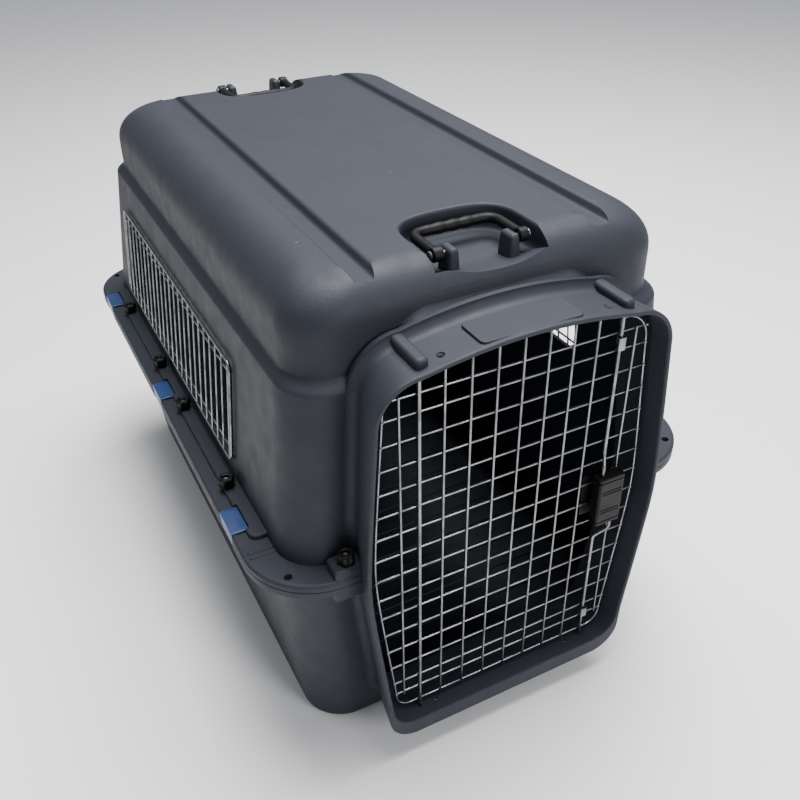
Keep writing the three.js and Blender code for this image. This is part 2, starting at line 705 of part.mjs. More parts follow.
/** Outline of the door's frame, walked once around, as points in X and Z. */
function framePoints() {
  const topZ = frameCrownZ - ARCH_RISE;
  const points = [];
  const corner = (x, z, radius, from) => {
    for (let k = 0; k <= 3; k += 1) {
      const angle = from + (Math.PI / 6) * k;
      points.push([x + radius * Math.cos(angle), z + radius * Math.sin(angle)]);
    }
  };
  const topR = DOORWAY_TOP_R - DOOR_CLEAR;
  const sillR = DOORWAY_SILL_R - DOOR_CLEAR_Z;
  const sill = frameHalf(frameBottomZ + sillR);
  points.push([doorwaySeam - DOOR_CLEAR, SEAM_Z]);
  corner(frameTop - topR, topZ - topR, topR, 0);
  for (let k = 1; k < 8; k += 1) {
    const x = (frameTop - topR) * (1 - k / 4);
    points.push([x, archAt(x) - DOOR_CLEAR_Z]);
  }
  corner(-frameTop + topR, topZ - topR, topR, Math.PI / 2);
  points.push([-doorwaySeam + DOOR_CLEAR, SEAM_Z]);
  corner(-sill + sillR, frameBottomZ + sillR, sillR, Math.PI);
  corner(sill - sillR, frameBottomZ + sillR, sillR, Math.PI * 1.5);
  return points;
}

/** Flat ring of one wire's thickness around the door's frame. */
function frameRing() {
  const middle = framePoints().map(([x, z]) => new THREE.Vector2(x, z));
  const offset = (distance) => middle.map((point, k) => {
    const before = middle[(k + middle.length - 1) % middle.length];
    const after = middle[(k + 1) % middle.length];
    const along = after.clone().sub(before).normalize();
    return point.clone().add(new THREE.Vector2(along.y, -along.x).multiplyScalar(distance));
  });
  const shape = new THREE.Shape(offset(WIRE / 2));
  shape.holes.push(new THREE.Path(offset(-WIRE / 2).reverse()));
  return solid(alongY(shape, rowY - WIRE / 2, rowY + WIRE / 2));
}

const doorWires = [frameRing()];
rows.forEach((z) => {
  const reach = frameHalf(z);
  doorWires.push(squareBar(WIRE, [-reach, rowY, z], [reach, rowY, z]));
});
columns.forEach((x) => {
  const outer = Math.abs(x) === lastColumn;
  const low = outer ? rows[rows.length - 1] - WIRE : frameBottomZ - WIRE / 2;
  const high = outer ? rows[0] + WIRE : Math.min(archAt(x), frameCrownZ + DOOR_CLEAR_Z) - DOOR_CLEAR_Z;
  doorWires.push(squareBar(WIRE, [x, columnY, low], [x, columnY, high]));
});
piece('door_grille', join(doorWires), chrome);

const rodTopZ = archAt(rodX);
piece('hinge_rod', bar(
  ROD / 2, [-rodX, rodY, SILL_Z - ROD_BITE], [-rodX, rodY, rodTopZ + ROD_BITE]), chrome);

// ---------------------------------------------------------------- squeeze latch

/** Rod with a cranked end, as a bar bent through a list of points. */
function bentRod(points) {
  const legs = [];
  for (let k = 1; k < points.length; k += 1) {
    legs.push(bar(ROD / 2, points[k - 1], points[k]));
  }
  for (const point of points.slice(1, -1)) {
    legs.push(solid(new THREE.SphereGeometry(ROD / 2, 8, 4).translate(...point)));
  }
  return join(legs);
}

const padTopZ = latchTop + GAP + PAD_CAP;
const padBottomZ = latchBottom - GAP - PAD_CAP;
const socketDepth = PAD_CAP + ROD_SOCKET;
const upperRodX = latchX - CRANK_OFFSET;
const lowerRodX = latchX + CRANK_OFFSET;
piece('upper_latch_rod', bentRod([
  [rodX, rodY, rodTopZ - ROD_FREE],
  [rodX, rodY, padTopZ + UPPER_CRANK[0]],
  [upperRodX, latchMidY, padTopZ + UPPER_CRANK[1]],
  [upperRodX, latchMidY, padTopZ - socketDepth + 1],
]), chrome);
piece('lower_latch_rod', bentRod([
  [rodX, rodY, SILL_Z + ROD_FREE],
  [rodX, rodY, padBottomZ - LOWER_CRANK[0]],
  [lowerRodX, latchMidY, padBottomZ - LOWER_CRANK[1]],
  [lowerRodX, latchMidY, padBottomZ + socketDepth - 1],
]), chrome);

const latchHalf = LATCH_WIDTH / 2;
const channelHalf = latchHalf - LATCH_WALL;
const channelY0 = latchFront + LATCH_WALL;
const channelY1 = latchFront + LATCH_DEPTH - LATCH_WALL;
const plateY0 = rowY + WIRE / 2 + GAP;
const rowBelow = rows.find((z) => z < LATCH_Z);
const pegZ = rowBelow + ROW_PITCH / 2;
const pegs = [-PEG_OFF, PEG_OFF].map((offset) => [latchX + offset, pegZ]);

const latchHousing = cut(
  join([
    box(latchX - latchHalf, latchX + latchHalf, latchFront, latchBack, latchBottom, latchTop),
    ...pegs.map(([x, z]) => bar(PEG_R, [x, latchBack - 1, z], [x, plateY0 + PLATE - GAP, z])),
  ]),
  [
    box(latchX - channelHalf, latchX + channelHalf, channelY0, channelY1,
      LATCH_Z + LATCH_RIB / 2, latchTop + 1),
    box(latchX - channelHalf, latchX + channelHalf, channelY0, channelY1,
      latchBottom - 1, LATCH_Z - LATCH_RIB / 2),
  ],
);
piece('latch_housing', latchHousing, blackNylon);

const plateReach = latchHalf + PLATE_REACH;
piece('latch_back_plate', cut(
  box(latchX - plateReach, latchX + latchHalf, plateY0, plateY0 + PLATE, latchBottom, latchTop),
  pegs.map(([x, z]) => bar(PEG_R + SOCKET_CLEAR, [x, plateY0 - 1, z], [x, plateY0 + PLATE + 1, z])),
), blackNylon);

for (const [name, side, socketX] of [['upper', 1, upperRodX], ['lower', -1, lowerRodX]]) {
  const inner = LATCH_Z + side * (LATCH_HEIGHT / 2 - PAD_STEM);
  const capFoot = LATCH_Z + side * (LATCH_HEIGHT / 2 + GAP);
  const capTop = capFoot + side * PAD_CAP;
  const range = (a, b) => [Math.min(a, b), Math.max(a, b)];
  const [stemZ0, stemZ1] = range(inner, capTop);
  const [capZ0, capZ1] = range(capFoot, capTop);
  const pad = cut(
    join([
      box(latchX - channelHalf + GAP, latchX + channelHalf - GAP, channelY0 + GAP, channelY1 - GAP,
        stemZ0, stemZ1),
      box(latchX - latchHalf, latchX + latchHalf, latchFront, latchBack, capZ0, capZ1),
    ]),
    [
      bar(ROD / 2 + SOCKET_CLEAR, [socketX, latchMidY, capTop + side],
        [socketX, latchMidY, capTop - side * socketDepth]),
      bar(SPRING_BORE_R, [latchX, latchMidY, inner - side], [latchX, latchMidY,
        inner + side * SPRING_BORE]),
    ],
  );
  piece(`${name}_latch_pad`, pad, blackNylon);
}

/** Helix about Z that rises from one height to another. */
class Helix extends THREE.Curve {
  constructor(radius, z0, z1, turns) {
    super();
    Object.assign(this, { radius, z0, z1, turns });
  }

  getPoint(t, target = new THREE.Vector3()) {
    const angle = t * this.turns * Math.PI * 2;
    const z = this.z0 + (this.z1 - this.z0) * t;
    return target.set(this.radius * Math.cos(angle), this.radius * Math.sin(angle), z);
  }
}

const springSection = new THREE.Shape();
springSection.absarc(0, 0, SPRING_WIRE / 2, 0, Math.PI * 2);
for (const [name, side] of [['upper', 1], ['lower', -1]]) {
  const clear = SPRING_WIRE / 2 + GAP;
  const foot = LATCH_RIB / 2 + clear;
  const head = LATCH_HEIGHT / 2 - PAD_STEM + SPRING_BORE - clear;
  const coil = new Helix(SPRING_R, foot, head, SPRING_TURNS);
  const geometry = new THREE.ExtrudeGeometry(springSection, {
    steps: Math.round(SPRING_TURNS * 6), extrudePath: coil, curveSegments: 2, bevelEnabled: false,
  });
  const spring = piece(`${name}_latch_spring`, solid(geometry), zinc);
  spring.position.set(latchX, latchMidY, LATCH_Z);
  spring.rotation.set(side > 0 ? 0 : Math.PI, 0, 0);
}

// Staples on the door that hold each latch rod against the wires.
const guideOut = ROD / 2 + SOCKET_CLEAR;
for (const [name, z0, z1] of [
  ['upper', rows[1] + WIRE, rows[0] - WIRE],
  ['lower', rows[rows.length - 1] + WIRE, rows[rows.length - 2] - WIRE],
]) {
  const back = rodY + ROD / 2 + GAP;
  const staple = cut(
    box(rodX - guideOut - GUIDE_T, rodX + guideOut + GUIDE_T, rodY - guideOut - GUIDE_T, back, z0, z1),
    [box(rodX - guideOut, rodX + guideOut, rodY - guideOut, back + 1, z0 - 1, z1 + 1)],
  );
  piece(`${name}_rod_guide`, staple, chrome);
}

// ---------------------------------------------------------------- handles

/** Folding handle lying flat, with its pivot at the origin and its grip towards +Y. */
function foldingHandle() {
  const path = new THREE.CurvePath();
  const at = (x, y) => new THREE.Vector3(x, y, 0);
  path.add(new THREE.LineCurve3(at(-handleHalf, 0), at(-handleHalf, HANDLE_REACH - HANDLE_BEND)));
  path.add(new THREE.QuadraticBezierCurve3(
    at(-handleHalf, HANDLE_REACH - HANDLE_BEND), at(-handleHalf, HANDLE_REACH),
    at(-handleHalf + HANDLE_BEND, HANDLE_REACH)));
  path.add(new THREE.LineCurve3(
    at(-handleHalf + HANDLE_BEND, HANDLE_REACH), at(handleHalf - HANDLE_BEND, HANDLE_REACH)));
  path.add(new THREE.QuadraticBezierCurve3(
    at(handleHalf - HANDLE_BEND, HANDLE_REACH), at(handleHalf, HANDLE_REACH),
    at(handleHalf, HANDLE_REACH - HANDLE_BEND)));
  path.add(new THREE.LineCurve3(at(handleHalf, HANDLE_REACH - HANDLE_BEND), at(handleHalf, 0)));
  const section = new THREE.Shape();
  section.absarc(0, 0, HANDLE_R, 0, Math.PI * 2);
  const tube = new THREE.ExtrudeGeometry(section, {
    steps: 24, extrudePath: path, curveSegments: 4, bevelEnabled: false,
  });
  const across = (radius, reach, turns) => [-1, 1].map((side) => bar(
    radius, [side * (handleHalf - reach), 0, 0], [side * (handleHalf + reach), 0, 0], turns));
  const eyes = across(HANDLE_EYE_R, HANDLE_EYE_HALF, 12);
  const bores = across(PIN_R + PIN_CLEAR, 2 * HANDLE_EYE_HALF);
  return cut(join([solid(tube), ...eyes]), bores);
}

/** Pivot pin along +X, head outermost, measured from the carrier's middle plane. */
function pivotPin() {
  const inner = bossOuter - PIVOT_BOSS + 1;
  const face = handleHalf + HANDLE_R + GAP;
  const profile = [
    [0, inner], [PIN_R, inner], [PIN_R, face], [PIN_R + 2, face], [PIN_R + 2, face + 2],
    [0, face + 2],
  ].map(([radius, along]) => new THREE.Vector2(radius, along));
  return new THREE.LatheGeometry(profile, 10).rotateZ(-Math.PI / 2);
}

for (const [endName, end] of [['front', -1], ['rear', 1]]) {
  const hinge = new THREE.Group();
  hinge.position.set(0, pivotY(end), pivotZ);
  hinge.rotation.set(0, 0, end < 0 ? 0 : Math.PI);
  piece(`${endName}_handle`, foldingHandle(), blackNylon, hinge);
  for (const [sideName, turn] of [['a', 0], ['b', Math.PI]]) {
    const pin = piece(`${endName}_handle_pin_${sideName}`, solid(pivotPin()), zinc, hinge);
    pin.rotation.set(0, 0, turn);
  }
  carrier.add(hinge);
}

// ---------------------------------------------------------------- bolts and wing nuts

/** Bolt about Z with its head at the bottom, from the head's face to the shank's end. */
function boltShape(length) {
  const profile = [
    [0, -BOLT_HEAD], [BOLT_HEAD_R, -BOLT_HEAD], [BOLT_HEAD_R, 0], [BOLT_R, 0], [BOLT_R, length],
    [0, length],
  ].map(([radius, along]) => new THREE.Vector2(radius, along));
  return solid(new THREE.LatheGeometry(profile, 6).rotateX(Math.PI / 2));
}

/** Lobed hand nut about Z, standing on its own base. */
function handNut() {
  const outline = [];
  const lobes = 6;
  for (let k = 0; k < lobes * 2; k += 1) {
    const angle = (Math.PI * 2 * k) / (lobes * 2);
    const radius = NUT_R * (k % 2 ? NUT_WAIST : 1);
    outline.push(new THREE.Vector2(radius * Math.cos(angle), radius * Math.sin(angle)));
  }
  const body = new THREE.ExtrudeGeometry(new THREE.Shape(outline), {
    depth: NUT_HEIGHT, bevelEnabled: false,
  });
  return cut(solid(body), [bar(BOLT_R + BORE_CLEAR, [0, 0, -1], [0, 0, NUT_HEIGHT + 1], 6)]);
}

for (const { name, x, y, seat } of bolts) {
  const under = flangeBottom - GAP;
  const bolt = piece(`bolt_${name}`, boltShape(seat + NUT_HEIGHT - THREAD_SHORT - under), zinc);
  bolt.position.set(x, y, under);
  const nut = piece(`hand_nut_${name}`, handNut(), blackNylon);
  nut.position.set(x, y, seat + GAP);
}

// ---------------------------------------------------------------- rim clips

/** Snap clip about its barrel's axis along Y, with its tab reaching towards +X. */
function rimClip() {
  const half = CLIP_LENGTH / 2;
  const webX = -CLIP_BARREL_R;
  const tabZ = flangeTop - clipPivotZ + GAP;
  const reach = CLIP_BARREL_R + GAP + CLIP_OFF + CLIP_TAB;
  return join([
    bar(CLIP_BARREL_R, [0, -half, 0], [0, half, 0]),
    box(webX, webX + CLIP_T, -half, half, 0, tabZ + CLIP_T),
    box(webX, reach - GAP, -half, half, tabZ, tabZ + CLIP_T),
    bar(CLIP_PIN_R, [0, -half - CLIP_PIN, 0], [0, half + CLIP_PIN, 0], 6),
  ]);
}

for (const { name, side, y } of clips) {
  const clip = piece(`rim_clip_${name}`, rimClip(), clipBlue);
  clip.position.set(side * clipPivotX, y, clipPivotZ);
  clip.rotation.set(0, 0, side < 0 ? 0 : Math.PI);
}

export default carrier;
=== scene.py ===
import logging
import math
from dataclasses import dataclass, field
from enum import Enum

import bpy
import numpy as np
from mathutils import Matrix, Vector


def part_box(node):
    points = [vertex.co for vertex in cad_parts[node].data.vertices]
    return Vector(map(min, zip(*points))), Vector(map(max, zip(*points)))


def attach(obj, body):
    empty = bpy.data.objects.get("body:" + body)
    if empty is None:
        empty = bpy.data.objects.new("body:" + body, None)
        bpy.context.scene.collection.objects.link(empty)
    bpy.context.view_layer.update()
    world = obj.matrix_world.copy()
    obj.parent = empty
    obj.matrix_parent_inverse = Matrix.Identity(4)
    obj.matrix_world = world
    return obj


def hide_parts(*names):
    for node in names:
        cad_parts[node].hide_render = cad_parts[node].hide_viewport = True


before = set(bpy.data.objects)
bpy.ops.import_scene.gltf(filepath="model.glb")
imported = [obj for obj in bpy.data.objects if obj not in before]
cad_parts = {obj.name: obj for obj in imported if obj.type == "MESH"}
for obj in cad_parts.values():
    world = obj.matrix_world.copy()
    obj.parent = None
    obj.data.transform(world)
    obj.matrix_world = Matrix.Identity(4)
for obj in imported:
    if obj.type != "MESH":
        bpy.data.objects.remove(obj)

LOG = logging.getLogger("pet_carrier")
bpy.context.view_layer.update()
MM = 0.001
Array = np.ndarray


class Slot(Enum):
    """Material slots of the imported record."""

    SHELL = "shell_plastic"
    CHROME = "chrome_wire"
    NYLON = "black_nylon"
    CLIP = "clip_blue"
    ZINC = "zinc_steel"


class Carve(Enum):
    """Ways in which one closed shape changes another."""

    JOIN = "UNION"
    CUT = "DIFFERENCE"
    KEEP = "INTERSECT"


# ---------------------------------------------------------------- shapes


@dataclass
class Shape:
    """Closed surface in millimetres: its points and the corner numbers of its faces."""

    points: Array
    faces: list

    def facing_out(self) -> "Shape":
        """Turns every face round if the enclosed volume is negative.

        The volume is the sum of the signed tetrahedra from the origin to each face's fan.

        Returns:
            The same shape with its faces pointing outwards.
        """
        quads = np.array([face for face in self.faces if len(face) == 4], int)
        total = 0.0
        if len(quads):
            a, b, c, d = (self.points[quads[:, k]] for k in range(4))
            total = float(np.sum(a * np.cross(b, c)) + np.sum(a * np.cross(c, d)))
        for face in self.faces:
            if len(face) != 4:
                fan = self.points[list(face)]
                total += float(np.sum(fan[0] * np.cross(fan[1:-1], fan[2:])))
        if total < 0:
            self.faces = [tuple(reversed(face)) for face in self.faces]
        return self


def together(shapes: list[Shape]) -> Shape:
    """Puts several closed shapes into one, without joining their surfaces.

    Args:
        shapes: The shapes.

    Returns:
        One shape that holds them all.
    """
    offsets = np.cumsum([0] + [len(shape.points) for shape in shapes[:-1]])
    faces = [
        tuple(int(corner + offset) for corner in face)
        for shape, offset in zip(shapes, offsets)
        for face in shape.faces
    ]
    return Shape(np.vstack([shape.points for shape in shapes]), faces)


def skin(rings: Array, round_trip: bool = False) -> Shape:
    """Skin over a stack of closed rings: quads between neighbours, flat caps at the ends.

    Args:
        rings: Points of shape (rings, corners, 3).
        round_trip: Whether the last ring joins the first, as in a torus.

    Returns:
        The closed shape.
    """
    count, corners = rings.shape[:2]
    numbers = np.arange(count * corners).reshape(count, corners)
    upper = np.roll(numbers, -1, axis=0) if round_trip else numbers[1:]
    lower = numbers if round_trip else numbers[:-1]
    quads = np.stack(
        [lower, np.roll(lower, -1, 1), np.roll(upper, -1, 1), upper], axis=-1
    ).reshape(-1, 4)
    faces = [tuple(quad) for quad in quads.tolist()]
    if not round_trip:
        faces.append(tuple(reversed(numbers[0].tolist())))
        faces.append(tuple(numbers[-1].tolist()))
    return Shape(rings.reshape(-1, 3).astype(float), faces).facing_out()


def arc(start: float, end: float, count: int) -> Array:
    """Unit vectors at even angles, in degrees, of shape (count, 2)."""
    angles = np.radians(np.linspace(start, end, count))
    return np.stack([np.cos(angles), np.sin(angles)], axis=-1)


def rounded_rectangle(
    half_x: float, half_y: float, radius: float, per_corner: int = 9, across: int = 2, along: int = 2
) -> Array:
    """Rounded rectangle about the origin: four quarter circles joined by straight runs.

    Args:
        half_x: Half the width.
        half_y: Half the length.
        radius: Corner radius.
        per_corner: Points on each quarter circle.
        across: Points on each straight run along X, its ends included.
        along: Points on each straight run along Y, its ends included.

    Returns:
        Points of shape (n, 2), anticlockwise from the right side.
    """
    cx, cy = half_x - radius, half_y - radius
    corners = [
        np.array([sx * cx, sy * cy]) + radius * arc(turn, turn + 90, per_corner)
        for sx, sy, turn in ((1, 1, 0), (-1, 1, 90), (-1, -1, 180), (1, -1, 270))
    ]
    runs = []
    for k, corner in enumerate(corners):
        steps = across if k % 2 == 0 else along
        share = np.linspace(0, 1, steps)[1:-1, None]
        following = corners[(k + 1) % 4][0]
        runs.append(np.vstack([corner, corner[-1] * (1 - share) + following * share]))
    return np.vstack(runs)


def block(
    low: tuple[float, float, float],
    high: tuple[float, float, float],
    corner: float,
    edge: float,
    taper: float = 0.0,
) -> Shape:
    """Upright block with round corners in plan and rounded upper and lower edges.

    Each ring is the plan drawn in by the edge's quarter circle at that height.

    Args:
        low: Lowest corner.
        high: Highest corner.
        corner: Radius of the upright corners.
        edge: Radius of the top and bottom edges.
        taper: How far the sides lean in from bottom to top.

    Returns:
        The closed shape.
    """
    a, b = np.array(low, float), np.array(high, float)
    middle, half = (a + b) / 2, (b - a) / 2
    edge = min(edge, half[2] * 0.95, half[0] * 0.95, half[1] * 0.95)
    steps = arc(0, 90, 5)
    inset = np.concatenate([edge * (1 - steps[:, 1]), edge * (1 - steps[:, 0])])
    height = np.concatenate([edge * (1 - steps[:, 0]), 2 * half[2] - edge * (1 - steps[:, 1])])
    rings = []
    for draw, rise in zip(inset, height):
        draw = draw + taper * rise / (2 * half[2])
        plan = rounded_rectangle(
            half[0] - draw, half[1] - draw, max(0.05, min(corner, half[0] - 0.1, half[1] - 0.1) - draw), 6
        )
        rings.append(np.column_stack([plan + middle[:2], np.full(len(plan), a[2] + rise)]))
    return skin(np.array(rings))


def turned(shape: Shape, angle: float, axis: str, about: tuple[float, float, float] = (0, 0, 0)) -> Shape:
    """Turns a shape about an axis through a point.

    Args:
        shape: The shape.
        angle: Angle in degrees.
        axis: "X", "Y" or "Z".
        about: Point on the axis.

    Returns:
        The turned shape.
    """
    matrix = np.array(Matrix.Rotation(math.radians(angle), 3, axis))
    centre = np.array(about, float)
    return Shape((shape.points - centre) @ matrix.T + centre, shape.faces)


def moved(shape: Shape, by: tuple[float, float, float]) -> Shape:
    """Shifts a shape by a vector."""
    return Shape(shape.points + np.array(by, float), shape.faces)


def mirrored(shape: Shape, axis: int) -> Shape:
    """Mirrors a shape in the plane through the origin across one axis, and turns its faces back out."""
    points = shape.points.copy()
    points[:, axis] *= -1
    return Shape(points, [tuple(reversed(face)) for face in shape.faces])


def tube(
    path: Array,
    radius: float,
    normal: tuple[float, float, float],
    sides: int = 12,
    closed: bool = False,
    flat: float = 1.0,
) -> Shape:
    """Round bar along a path that lies in one plane.

    Each ring is a circle in the plane of the path's normal and its side vector, which is the
    tangent crossed with the normal. An open bar ends in two domes.

    Args:
        path: Points of shape (n, 3).
        radius: Radius, one value or one for each point.
        normal: Unit normal of the path's plane.
        sides: Points around.
        closed: Whether the path closes on itself.
        flat: Thickness along the normal, as a share of the width.

    Returns:
        The closed shape.
    """
    path = np.asarray(path, float)
    radii = np.broadcast_to(np.asarray(radius, float), (len(path),)).copy()
    if closed:
        tangent = np.roll(path, -1, 0) - np.roll(path, 1, 0)
    else:
        dome = arc(0, 84, 5)
        first = path[1] - path[0]
        last = path[-1] - path[-2]
        first, last = first / np.linalg.norm(first), last / np.linalg.norm(last)
        head = path[0] + first * radii[0] * (1 - dome[::-1, 1:2])
        tail = path[-1] - last * radii[-1] * (1 - dome[:, 1:2])
        grown = np.concatenate([radii[0] * dome[::-1, 0], radii[1:-1], radii[-1] * dome[:, 0]])
        path = np.vstack([head, path[1:-1], tail])
        radii = grown
        tangent = np.gradient(path, axis=0)
    tangent /= np.linalg.norm(tangent, axis=1, keepdims=True)
    up = np.array(normal, float)
    side = np.cross(tangent, up)
    side /= np.linalg.norm(side, axis=1, keepdims=True)
    circle = arc(0, 360, sides + 1)[:-1]
    rings = path[:, None] + radii[:, None, None] * (
        circle[None, :, :1] * side[:, None] + flat * circle[None, :, 1:] * up
    )
    return skin(rings, closed)


def straight(start: tuple, end: tuple, radius: float, sides: int = 12) -> Shape:
    """Straight round bar with domed ends between two points."""
    a, b = np.array(start, float), np.array(end, float)
    along = b - a
    normal = np.cross(along, (0.0, 0.0, 1.0))
    if np.linalg.norm(normal) < 1e-6:
        normal = np.array([1.0, 0.0, 0.0])
    share = np.linspace(0, 1, 4)[:, None]
    return tube(a + share * along, radius, tuple(normal / np.linalg.norm(normal)), sides)


def bent(points: list[tuple], radius: float, bend: float, normal: tuple, sides: int = 12) -> Shape:
    """Round bar along straight legs in one plane, with each corner a quadratic curve.

    Args:
        points: Corners of the path.
        radius: Radius of the bar.
        bend: Distance from each corner to where its curve starts.
        normal: Unit normal of the plane.
        sides: Points around.

    Returns:
        The closed shape.
    """
    corners = np.array(points, float)
    legs = [corners[:1]]
    share = np.linspace(0, 1, 8)[:, None]
    for before, corner, after in zip(corners[:-2], corners[1:-1], corners[2:]):
        enter = corner + (before - corner) / np.linalg.norm(before - corner) * bend
        leave = corner + (after - corner) / np.linalg.norm(after - corner) * bend
        legs.append((1 - share) ** 2 * enter + 2 * share * (1 - share) * corner + share**2 * leave)
    legs.append(corners[-1:])
    return tube(np.vstack(legs), radius, normal, sides)


def turning(profile: list[tuple[float, float]], sides: int = 28) -> Shape:
    """Solid of revolution about Z from a profile of (radius, height), closed by flat ends.

    Args:
        profile: Pairs from the bottom to the top.
        sides: Points around.

    Returns:
        The closed shape.
    """
    circle = arc(0, 360, sides + 1)[:-1]
    pairs = np.array(profile, float)
    rings = np.empty((len(pairs), sides, 3))
    rings[..., :2] = pairs[:, None, :1] * circle
    rings[..., 2] = pairs[:, 1:2]
    return skin(rings)


def beads(centres: Array, radii: tuple[float, float, float]) -> Shape:
    """Many small domed beads of a few dozen faces each, as where two wires are welded.

    Args:
        centres: Places of shape (n, 3).
        radii: Half sizes along X, Y and Z.

    Returns:
        One shape that holds them all.
    """
    tilt = np.radians(np.linspace(-80, 80, 5))
    circle = arc(0, 360, 9)[:-1]
    ball = np.empty((5, 8, 3))
    ball[..., 0] = np.cos(tilt)[:, None] * circle[:, 0]
    ball[..., 1] = np.cos(tilt)[:, None] * circle[:, 1]
    ball[..., 2] = np.sin(tilt)[:, None]
    one = skin(ball)
    points = one.points * np.array(radii, float)
    every = centres[:, None] + points[None]
    corners = [
        tuple(corner + k * len(points) for corner in face)
        for k in range(len(centres))
        for face in one.faces
    ]
    return Shape(every.reshape(-1, 3), corners)


# ---------------------------------------------------------------- from shapes to objects


def mesh_object(name: str, shape: Shape, sharp: float = 32.0) -> bpy.types.Object:
    """Makes a Blender object from a shape, smooth except at edges sharper than an angle.

    Args:
        name: Name of the piece.
        shape: The surface in millimetres.
        sharp: Angle in degrees past which an edge stays sharp.

    Returns:
        The object, at the origin, in metres.
    """
    mesh = bpy.data.meshes.new(name)
    mesh.from_pydata((shape.points * MM).tolist(), [], shape.faces)
    mesh.update()
    mesh.shade_smooth()
    mesh.set_sharp_from_angle(angle=math.radians(sharp))
    obj = bpy.data.objects.new(name, mesh)
    bpy.context.scene.collection.objects.link(obj)
    return obj


def carved(name: str, base: Shape, steps: list[tuple[Carve, Shape]], sharp: float = 32.0) -> bpy.types.Object:
    """Joins, cuts or crops a closed shape by others, in order.

    Args:
        name: Name of the piece.
        base: The shape to start from.
        steps: What to do and with which shape.
        sharp: Angle in degrees past which an edge stays sharp.

    Returns:
        The finished object, with no tool left behind.
    """
    obj = mesh_object(name, base)
    tools = []
    for k, (way, shape) in enumerate(steps):
        tool = mesh_object(f"{name}_tool_{k}", shape)
        tools.append(tool)
        modifier = obj.modifiers.new(f"carve_{k}", "BOOLEAN")
        modifier.operation = way.value
        modifier.object = tool
        modifier.solver = "MANIFOLD"
    bpy.context.view_layer.update()
    result = bpy.data.meshes.new_from_object(obj.evaluated_get(bpy.context.evaluated_depsgraph_get()))
    obj.modifiers.clear()
    obj.data = result
    for tool in tools:
        bpy.data.objects.remove(tool)
    result.shade_smooth()
    result.set_sharp_from_angle(angle=math.radians(sharp))
    weighted = obj.modifiers.new("even_shading", "WEIGHTED_NORMAL")
    weighted.keep_sharp = True
    LOG.info("%s carved in %d steps: %d faces", name, len(steps), len(result.polygons))
    return obj


def shape_of(obj: bpy.types.Object) -> Shape:
    """Takes an object's mesh back as a shape and removes the object."""
    mesh = obj.data
    flat = np.empty(len(mesh.vertices) * 3)
    mesh.vertices.foreach_get("co", flat)
    shape = Shape(flat.reshape(-1, 3) / MM, [tuple(face.vertices) for face in mesh.polygons])
    bpy.data.objects.remove(obj)
    return shape


# ---------------------------------------------------------------- finishes


def linear(hex_colour: str) -> tuple[float, float, float, float]:
    """Turns an sRGB hex colour into linear light by the sRGB curve."""
    parts = np.array([int(hex_colour[k : k + 2], 16) / 255 for k in (1, 3, 5)])
    light = np.where(parts <= 0.04045, parts / 12.92, ((parts + 0.055) / 1.055) ** 2.4)
    return (*light.tolist(), 1.0)


def node(tree: bpy.types.NodeTree, kind: str, settings: dict, links: dict | None = None) -> bpy.types.Node:
    """Adds a node, sets its properties and inputs, and links its inputs.

    Args:
        tree: The material's node tree.
        kind: Node type name.
        settings: Properties by name, and input values by ("in", name or number).
        links: Output sockets by input name or number.

    Returns:
        The node.
    """
    made = tree.nodes.new(kind)
    for key, value in settings.items():
        if isinstance(key, tuple):
            made.inputs[key[1]].default_value = value
        else:
            setattr(made, key, value)
    for name, socket in (links or {}).items():
        tree.links.new(socket, made.inputs[name])
    return made


def new_tree(name: str) -> tuple[bpy.types.Material, bpy.types.NodeTree]:
    """Makes an empty node material and returns it with its tree."""
    material = bpy.data.materials.new(name)
    material.use_nodes = True
    material.node_tree.nodes.clear()
    return material, material.node_tree


def noise(
    tree: bpy.types.NodeTree, size_mm: float, detail: float, places: bpy.types.NodeSocket
) -> bpy.types.NodeSocket:
    """Noise whose features are about size_mm across, as a value socket."""
    made = node(
        tree, "ShaderNodeTexNoise",
        {("in", "Scale"): 1 / (size_mm * MM), ("in", "Detail"): detail},
        {"Vector": places},
    )
    return made.outputs["Fac"]


def spread(
    tree: bpy.types.NodeTree, value: bpy.types.NodeSocket, low: float, high: float,
    start: float = 0.3, end: float = 0.7,
) -> bpy.types.NodeSocket:
    """Carries a value from the range start to end over to the range low to high, clamped."""
    made = node(
        tree, "ShaderNodeMapRange",
        {("in", "From Min"): start, ("in", "From Max"): end, ("in", "To Min"): low, ("in", "To Max"): high},
        {"Value": value},
    )
    return made.outputs["Result"]


